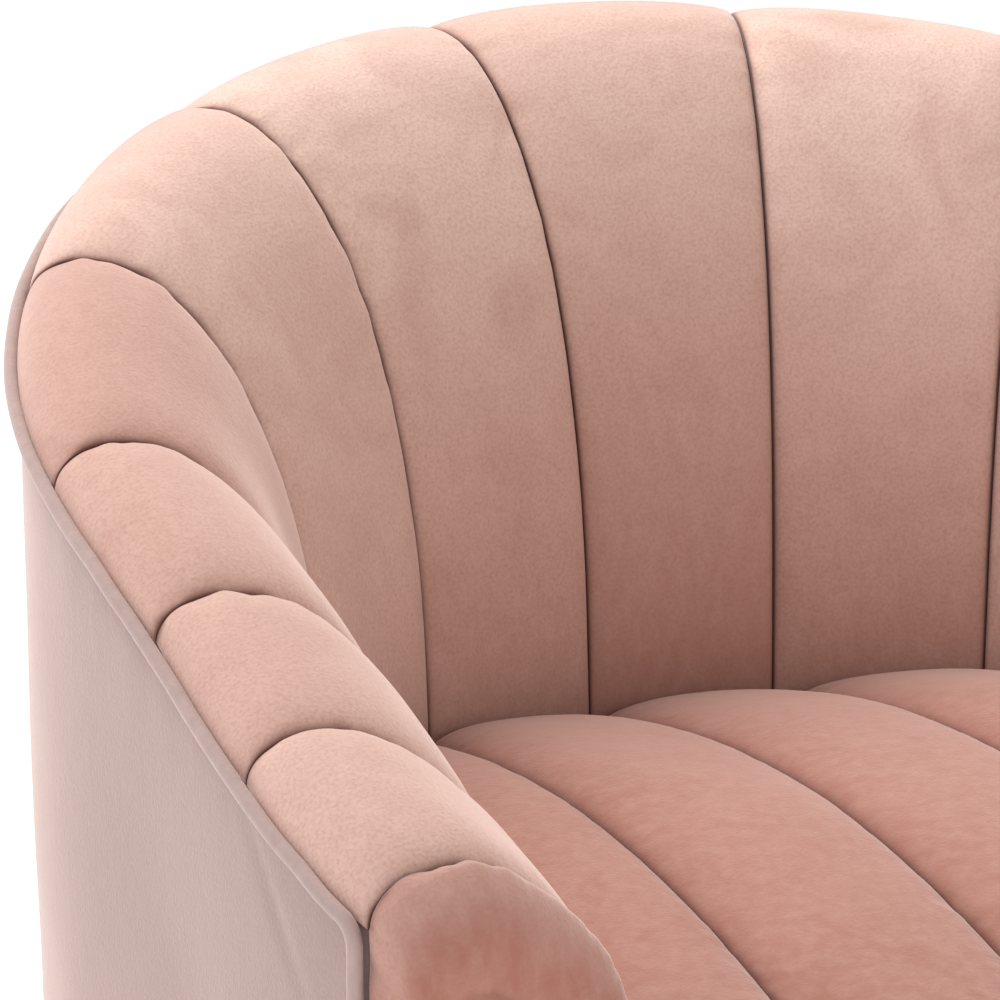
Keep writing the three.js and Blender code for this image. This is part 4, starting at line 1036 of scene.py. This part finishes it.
class BuildMaterials(bpy.types.Operator):
    """Mix the chair's materials."""

    bl_idname = "nursery_chair.materials"
    bl_label = "Materials"

    def execute(self, context):
        c = context.scene.chair_colours
        velvet_material(VELVET, c.velvet_deep, c.velvet_light, c.velvet_seam, 0.85)
        # The welt runs from the lit outside colour to the lit velvet colour: painted light.
        velvet_material(WELT_VELVET, c.outside_light, c.velvet_light, c.velvet_seam, 0.7)
        velvet_material(OUTSIDE_VELVET, c.outside_deep, c.outside_light, c.velvet_seam, 0.7)
        beech_material(c)
        steel_materials()
        black_materials()
        white = linear("#ffffff")
        new_material(FLOOR, "#f7f6f5", Roughness=0.9, Emission_Strength=0.62, Emission_Color=white)
        return {"FINISHED"}


# ---- Wood, springs and cloth under the padding ----
SPRING_HEIGHT = 342.3
CLOTH_HEIGHT = 73.5
PIN_CORNER, BAR_CORNER = (214.3, 160.6), (188.0, 201.3)


def inner_front():
    """Y of the front rail's face, and the arm fronts' inner reach and rear, in mm."""
    low, high = (np.array(p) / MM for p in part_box("arm_front_pad_left"))
    return low[1] + 24.3, low[0] - 0.6, high[1] + 1


def rear_at(x, out):
    """Y where the rim's line, offset by out, crosses x behind the middle."""
    u = np.linspace(0, 4.5, 400)
    line = at_rim(rim(u), out, 0)
    return np.interp(abs(x), -line[:, 0], line[:, 1])


def strap_clip():
    """A pressed clip that holds a spring's end down on the rail."""
    arch = [(4.4 * math.cos(a), 2.2 + 2.6 * math.sin(a)) for a in np.linspace(0, math.pi, 9)]
    under = [(3.0 * math.cos(a), 1.2 + 2.3 * math.sin(a)) for a in np.linspace(math.pi, 0, 9)]
    profile = [(11, 0), (11, 1.1), (4.9, 1.1), *arch, (-4.9, 1.1), (-11, 1.1), (-11, 0), (-3.4, 0)]
    profile += [*under, (3.4, 0)]
    rings = [[(x, y, z) for x, z in profile] for y in (-6.5, -6, 6, 6.5)]
    return mesh_piece("strap_clip_item", rings, ring_faces(4, len(profile)), ZINC)


def seat_springs():
    front, _, _ = inner_front()
    start = front + 15
    points, edges, ends = [], [], []
    for x in (-192, -96, 0, 96, 192):
        end = rear_at(x, -46)
        j = np.linspace(0, 10, 200)
        swing = -18 * np.tanh(1.6 * np.cos(math.pi * j)) / math.tanh(1.6)
        swing = swing * ease(0, 0.8, j) * ease(0, 0.8, 10 - j)
        line = np.stack([x + swing, start + (end - start) * j / 10, SPRING_HEIGHT + 0 * j], axis=1)
        edges += [(len(points) + a, len(points) + b) for a, b in path_edges(200)]
        points += line.tolist()
        ends += [(x, start + 7, SPRING_HEIGHT - 2), (x, end - 7, SPRING_HEIGHT - 2)]
    middle = (start + rear_at(0, -46)) / 2
    tie = [(x, middle, SPRING_HEIGHT) for x in np.linspace(-210, 210, 60)]
    edges += [(len(points) + a, len(points) + b) for a, b in path_edges(60)]
    points += tie
    values = {"Radius": 0.0020, "Sides": 10, "Material": MATERIALS[WIRE]}
    springs = run_tree(cord_tree(), "sinuous_springs", points, edges, values)
    settle(springs, "seat", WIRE, "seat_springs")
    copies("spring_clips", strap_clip(), ends, ZINC, "seat")


def cloth_outline():
    """The dust cover's cut edge and its hole, as radius at even angles."""
    front, reach, back = inner_front()
    u = np.linspace(-END + 0.02, END - 0.02, 400)
    line = at_rim(rim(u), -33, 0)[:, :2].tolist()
    inner, corner, back = reach - 12, front + 12, back + 12
    line += [(-inner, back), (-inner, corner), (inner, corner), (inner, back)]
    quarter = (BAR_CORNER, PIN_CORNER)
    hole = []
    for sx, sy in ((1, -1), (1, 1), (-1, 1), (-1, -1)):
        hole += [(sx * x, sy * y) for x, y in quarter[:: -sx * sy]]
    angle = np.linspace(-math.pi, math.pi, 360, endpoint=False)
    return angle, radius_at(line, angle), radius_at(hole, angle)


def radius_at(corners, angle):
    corners = np.array(corners)
    after = np.roll(corners, -1, axis=0)
    t = np.linspace(0, 1, 40, endpoint=False)[None, :, None]
    dense = (corners[:, None] * (1 - t) + after[:, None] * t).reshape(-1, 2)
    bearing = np.arctan2(dense[:, 1], dense[:, 0])
    order = np.argsort(bearing)
    return np.interp(angle, bearing[order], np.hypot(*dense[order].T), period=2 * math.pi)


def dust_cloth(sizes):
    """Black cloth stapled under the bottom frame, with a hole for the base."""
    angle, outer, hole = cloth_outline()
    t = np.linspace(0, 1, 20)[None, :]
    radius = hole[:, None] * (1 - t) + outer[:, None] * t
    x, y = radius * np.cos(angle)[:, None], radius * np.sin(angle)[:, None]
    sag = 0.5 * soft_noise(x, y, 34, 71) * ease(0, 0.3, t) * ease(0, 0.3, 1 - t)
    low = CLOTH_HEIGHT + sag
    bottom = np.stack([x, y, low], axis=-1)
    top = np.stack([x, y, low + 0.7], axis=-1)[:, ::-1]
    points = np.concatenate([bottom, top], axis=1)
    faces = ring_faces(*points.shape[:2], close_rings=True)
    cloth = mesh_piece("dust_cloth", points, faces, CLOTH)
    settle(cloth, "seat", CLOTH, "dust_cover")
    edge = outer - 7
    path = np.stack([edge * np.cos(angle), edge * np.sin(angle), CLOTH_HEIGHT - 0.4 + 0 * edge], axis=1)
    corners = softened([(-0.5, -5), (0.5, -5), (0.5, 5), (-0.5, 5)], 0.3, 2)
    rings = [[(a, h, b) for a, b in corners] for h in (-0.35, 0.35)]
    staple = mesh_piece("staple_item", rings, ring_faces(2, len(corners)), ZINC)
    copies("cloth_staples", staple, path, ZINC, "seat", sizes.staple_spacing)


# ---- Swivel glider base ----
def hex_head(across, height, down=False):
    """A hexagon bolt head with a washer face and a chamfered top."""
    rings = []
    for scale, h in ((1.28, 0), (1.28, 0.9), (1.0, 0.9), (1.0, height - 0.7), (0.86, height)):
        sides = 24 if scale > 1.2 else 6
        a = np.linspace(0, 2 * math.pi, 24, endpoint=False)
        if sides == 6:
            radius = across / np.cos((a % (math.pi / 3)) - math.pi / 6) * scale * 0.9
        else:
            radius = across * scale + 0 * a
        rings.append(np.stack([radius * np.cos(a), radius * np.sin(a), (-h if down else h) + 0 * a], axis=1))
    piece = mesh_piece("bolt_item", rings, ring_faces(len(rings), 24), ZINC)
    sharpen_edges(piece)
    return piece


CENTRE = (0, 0, 0)
RING_RADIUS, TUBE_RADIUS, TUBE_HEIGHT = 260, 11, 17.3
TRACK_RADIUS, TRACK_HEIGHT, BALL_PITCH = 62.6, 43.2, 0.0131
PIVOT_Y, UPPER_PIVOT, LOWER_PIVOT = 95, 182, 72


def base_pieces(sizes):
    """The floor ring, ball bearing and pivot bolt."""
    a = np.linspace(0, 2 * math.pi, 28, endpoint=False)
    strip = softened([(250, 0), (270, 0), (270, 6), (250, 6)], 1.6, 4)
    tube = np.stack([RING_RADIUS + TUBE_RADIUS * np.cos(a), TUBE_HEIGHT + TUBE_RADIUS * np.sin(a)], axis=1)
    lower = softened([(8.3, 34.9), (76, 34.9), (76, 38.9), (8.3, 38.9)], 0.9, 3)
    upper = softened([(11.3, 47.5), (76, 47.5), (76, 51.5), (11.3, 51.5)], 0.9, 3)
    cage = softened([(45, 39.2), (65, 39.2), (65, 47.2), (45, 47.2)], 1.2, 3)
    bolt = [(0, 39.2), (8, 39.2), (8, 52), (22, 52), (22, 57.5), (20.8, 59), (12, 60), (0, 60)]
    for name, profile, material, sides, body, node in (
        ("floor_glide_strip", strip, NYLON, 160, "base", "floor_glide_ring"),
        ("floor_ring_tube", tube, BLACK_STEEL, 192, "base", "base_ring"),
        ("swivel_lower_race_pressed", lower, ZINC, 96, "base", "swivel_lower_race"),
        ("swivel_upper_race_pressed", upper, ZINC, 96, "swivel", "swivel_upper_race"),
        ("ball_cage_ring", cage, NYLON, 96, "base", "swivel_ball_cage"),
        ("pivot_bolt_turned", bolt, ZINC, 96, "base", "swivel_pivot_bolt"),
    ):
        settle(turned(name, profile, CENTRE, "Z", material, sides), body, material, node)
    ball_radius = sizes.ball_radius / MM
    ball = [(ball_radius * math.sin(b), -ball_radius * math.cos(b)) for b in np.linspace(0, math.pi, 11)]
    a = np.linspace(0, 2 * math.pi, 120, endpoint=False)
    track = np.stack([TRACK_RADIUS * np.cos(a), TRACK_RADIUS * np.sin(a), TRACK_HEIGHT + 0 * a], axis=1)
    item = turned("ball_item", ball, CENTRE, "Z", ZINC, 16)
    copies("bearing_balls", item, track, ZINC, "base", BALL_PITCH)


# Radius and place along X of the upper pivot rods' end and of the shoulder pins
ROD = [(6, 172.3), (9, 172.3), (9, 179.7), (6, 179.7), (6, 185.3), (10, 185.3), (10, 188.5)]
ROD += [(9.2, 189.3), (0, 189.3)]
PIN = [(0, 175.7), (9.2, 175.7), (10, 176.5), (10, 179.7), (6, 179.7), (6, 185.3), (9, 185.3)]
PIN += [(9, 191.7), (6, 191.7), (6, 196.3), (10, 196.3), (10, 199.5), (9.2, 200.3), (0, 200.3)]


def carriage_pieces(sizes):
    """The carriage's plates and rods, the hanging links and the seat brackets."""
    width = sizes.edge_round
    eased_copy("base_cross_bars", BLACK_STEEL, width, "base")
    for word in ("pan", "side_left", "side_right", "tie_bar_front", "tie_bar_rear"):
        eased_copy("carriage_" + word, BLACK_STEEL, width * 0.8, "swivel")
    rod = [(r, -x) for r, x in ROD[::-1]] + ROD
    for end, y in (("front", -PIVOT_Y), ("rear", PIVOT_Y)):
        piece = turned("pivot_rod_" + end, rod, (0, y, UPPER_PIVOT), "X", ZINC, 40)
        settle(piece, "swivel", ZINC, "upper_pivot_rod_" + end)
        for side, sign in (("left", 1), ("right", -1)):
            word = end + "_" + side
            eased_copy("glide_link_" + word, ZINC, width * 0.7, "link_" + word)
            pin = [(r, sign * x) for r, x in PIN]
            piece = turned("shoulder_pin_" + word, pin, (0, y, LOWER_PIVOT), "X", ZINC, 40)
            settle(piece, "seat", ZINC, "lower_pin_" + word)
    for side in ("left", "right"):
        eased_copy("seat_bracket_" + side, BLACK_STEEL, width * 0.8, "seat")
    spots = [(sx * 213, sy * 120 + dy, 241.4) for sx in (-1, 1) for sy in (-1, 1) for dy in (-12, 12)]
    copies("bracket_bolts", hex_head(6.5, 5, down=True), spots, ZINC, "seat")
    around = np.linspace(0.26, 2 * math.pi + 0.26, 6, endpoint=False)
    ring = [(66 * math.cos(a), 66 * math.sin(a), 55.8) for a in around]
    copies("race_bolts", hex_head(5, 4), ring, ZINC, "swivel")


class BuildFrame(bpy.types.Operator):
    """Build the beech rails, posts and beams."""

    bl_idname = "nursery_chair.frame"
    bl_label = "Beech frame"

    def execute(self, context):
        nodes = ["rim_rail", "seat_rail", "bottom_frame", "cross_beam_front", "cross_beam_rear"]
        nodes += [f"post_{side}_{i}" for side in ("left", "right") for i in (1, 2, 3)]
        for node in nodes:
            eased_copy(node, BEECH, context.scene.chair_sizes.edge_round, "seat")
        return {"FINISHED"}


class BuildUnderside(bpy.types.Operator):
    """Build the springs with their clips and the dust cloth with its staples."""

    bl_idname = "nursery_chair.underside"
    bl_label = "Springs and dust cloth"

    def execute(self, context):
        seat_springs()
        dust_cloth(context.scene.chair_sizes)
        return {"FINISHED"}


class BuildBase(bpy.types.Operator):
    """Build the floor ring, bearing, carriage and glide links."""

    bl_idname = "nursery_chair.base"
    bl_label = "Swivel glider base"

    def execute(self, context):
        base_pieces(context.scene.chair_sizes)
        carriage_pieces(context.scene.chair_sizes)
        return {"FINISHED"}


class ChairPanel(bpy.types.Panel):
    bl_idname = "VIEW3D_PT_nursery_chair"
    bl_label = "Nursery chair"
    bl_space_type = "VIEW_3D"
    bl_region_type = "UI"
    bl_category = "Chair"

    def draw(self, context):
        for group in (context.scene.chair_sizes, context.scene.chair_colours):
            for key in group.bl_rna.properties.keys():
                if key not in {"rna_type", "name"}:
                    self.layout.prop(group, key)
        for step in STEPS:
            self.layout.operator(step.bl_idname)


STEPS = (
    BuildMaterials,
    BuildStage,
    BuildPads,
    BuildArmFronts,
    BuildSeat,
    BuildOutside,
    BuildFrame,
    BuildUnderside,
    BuildBase,
)
CLASSES = (ChairSizes, ChairColours, *STEPS, ChairPanel)


def register():
    for item in CLASSES:
        bpy.utils.register_class(item)
    bpy.types.Scene.chair_sizes = bpy.props.PointerProperty(type=ChairSizes)
    bpy.types.Scene.chair_colours = bpy.props.PointerProperty(type=ChairColours)


def unregister():
    del bpy.types.Scene.chair_sizes
    del bpy.types.Scene.chair_colours
    for item in reversed(CLASSES):
        bpy.utils.unregister_class(item)


def main():
    """Build the chair."""
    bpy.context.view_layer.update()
    register()
    for step in STEPS:
        group, name = step.bl_idname.split(".")
        getattr(getattr(bpy.ops, group), name)()


if __name__ == "__main__":
    main()
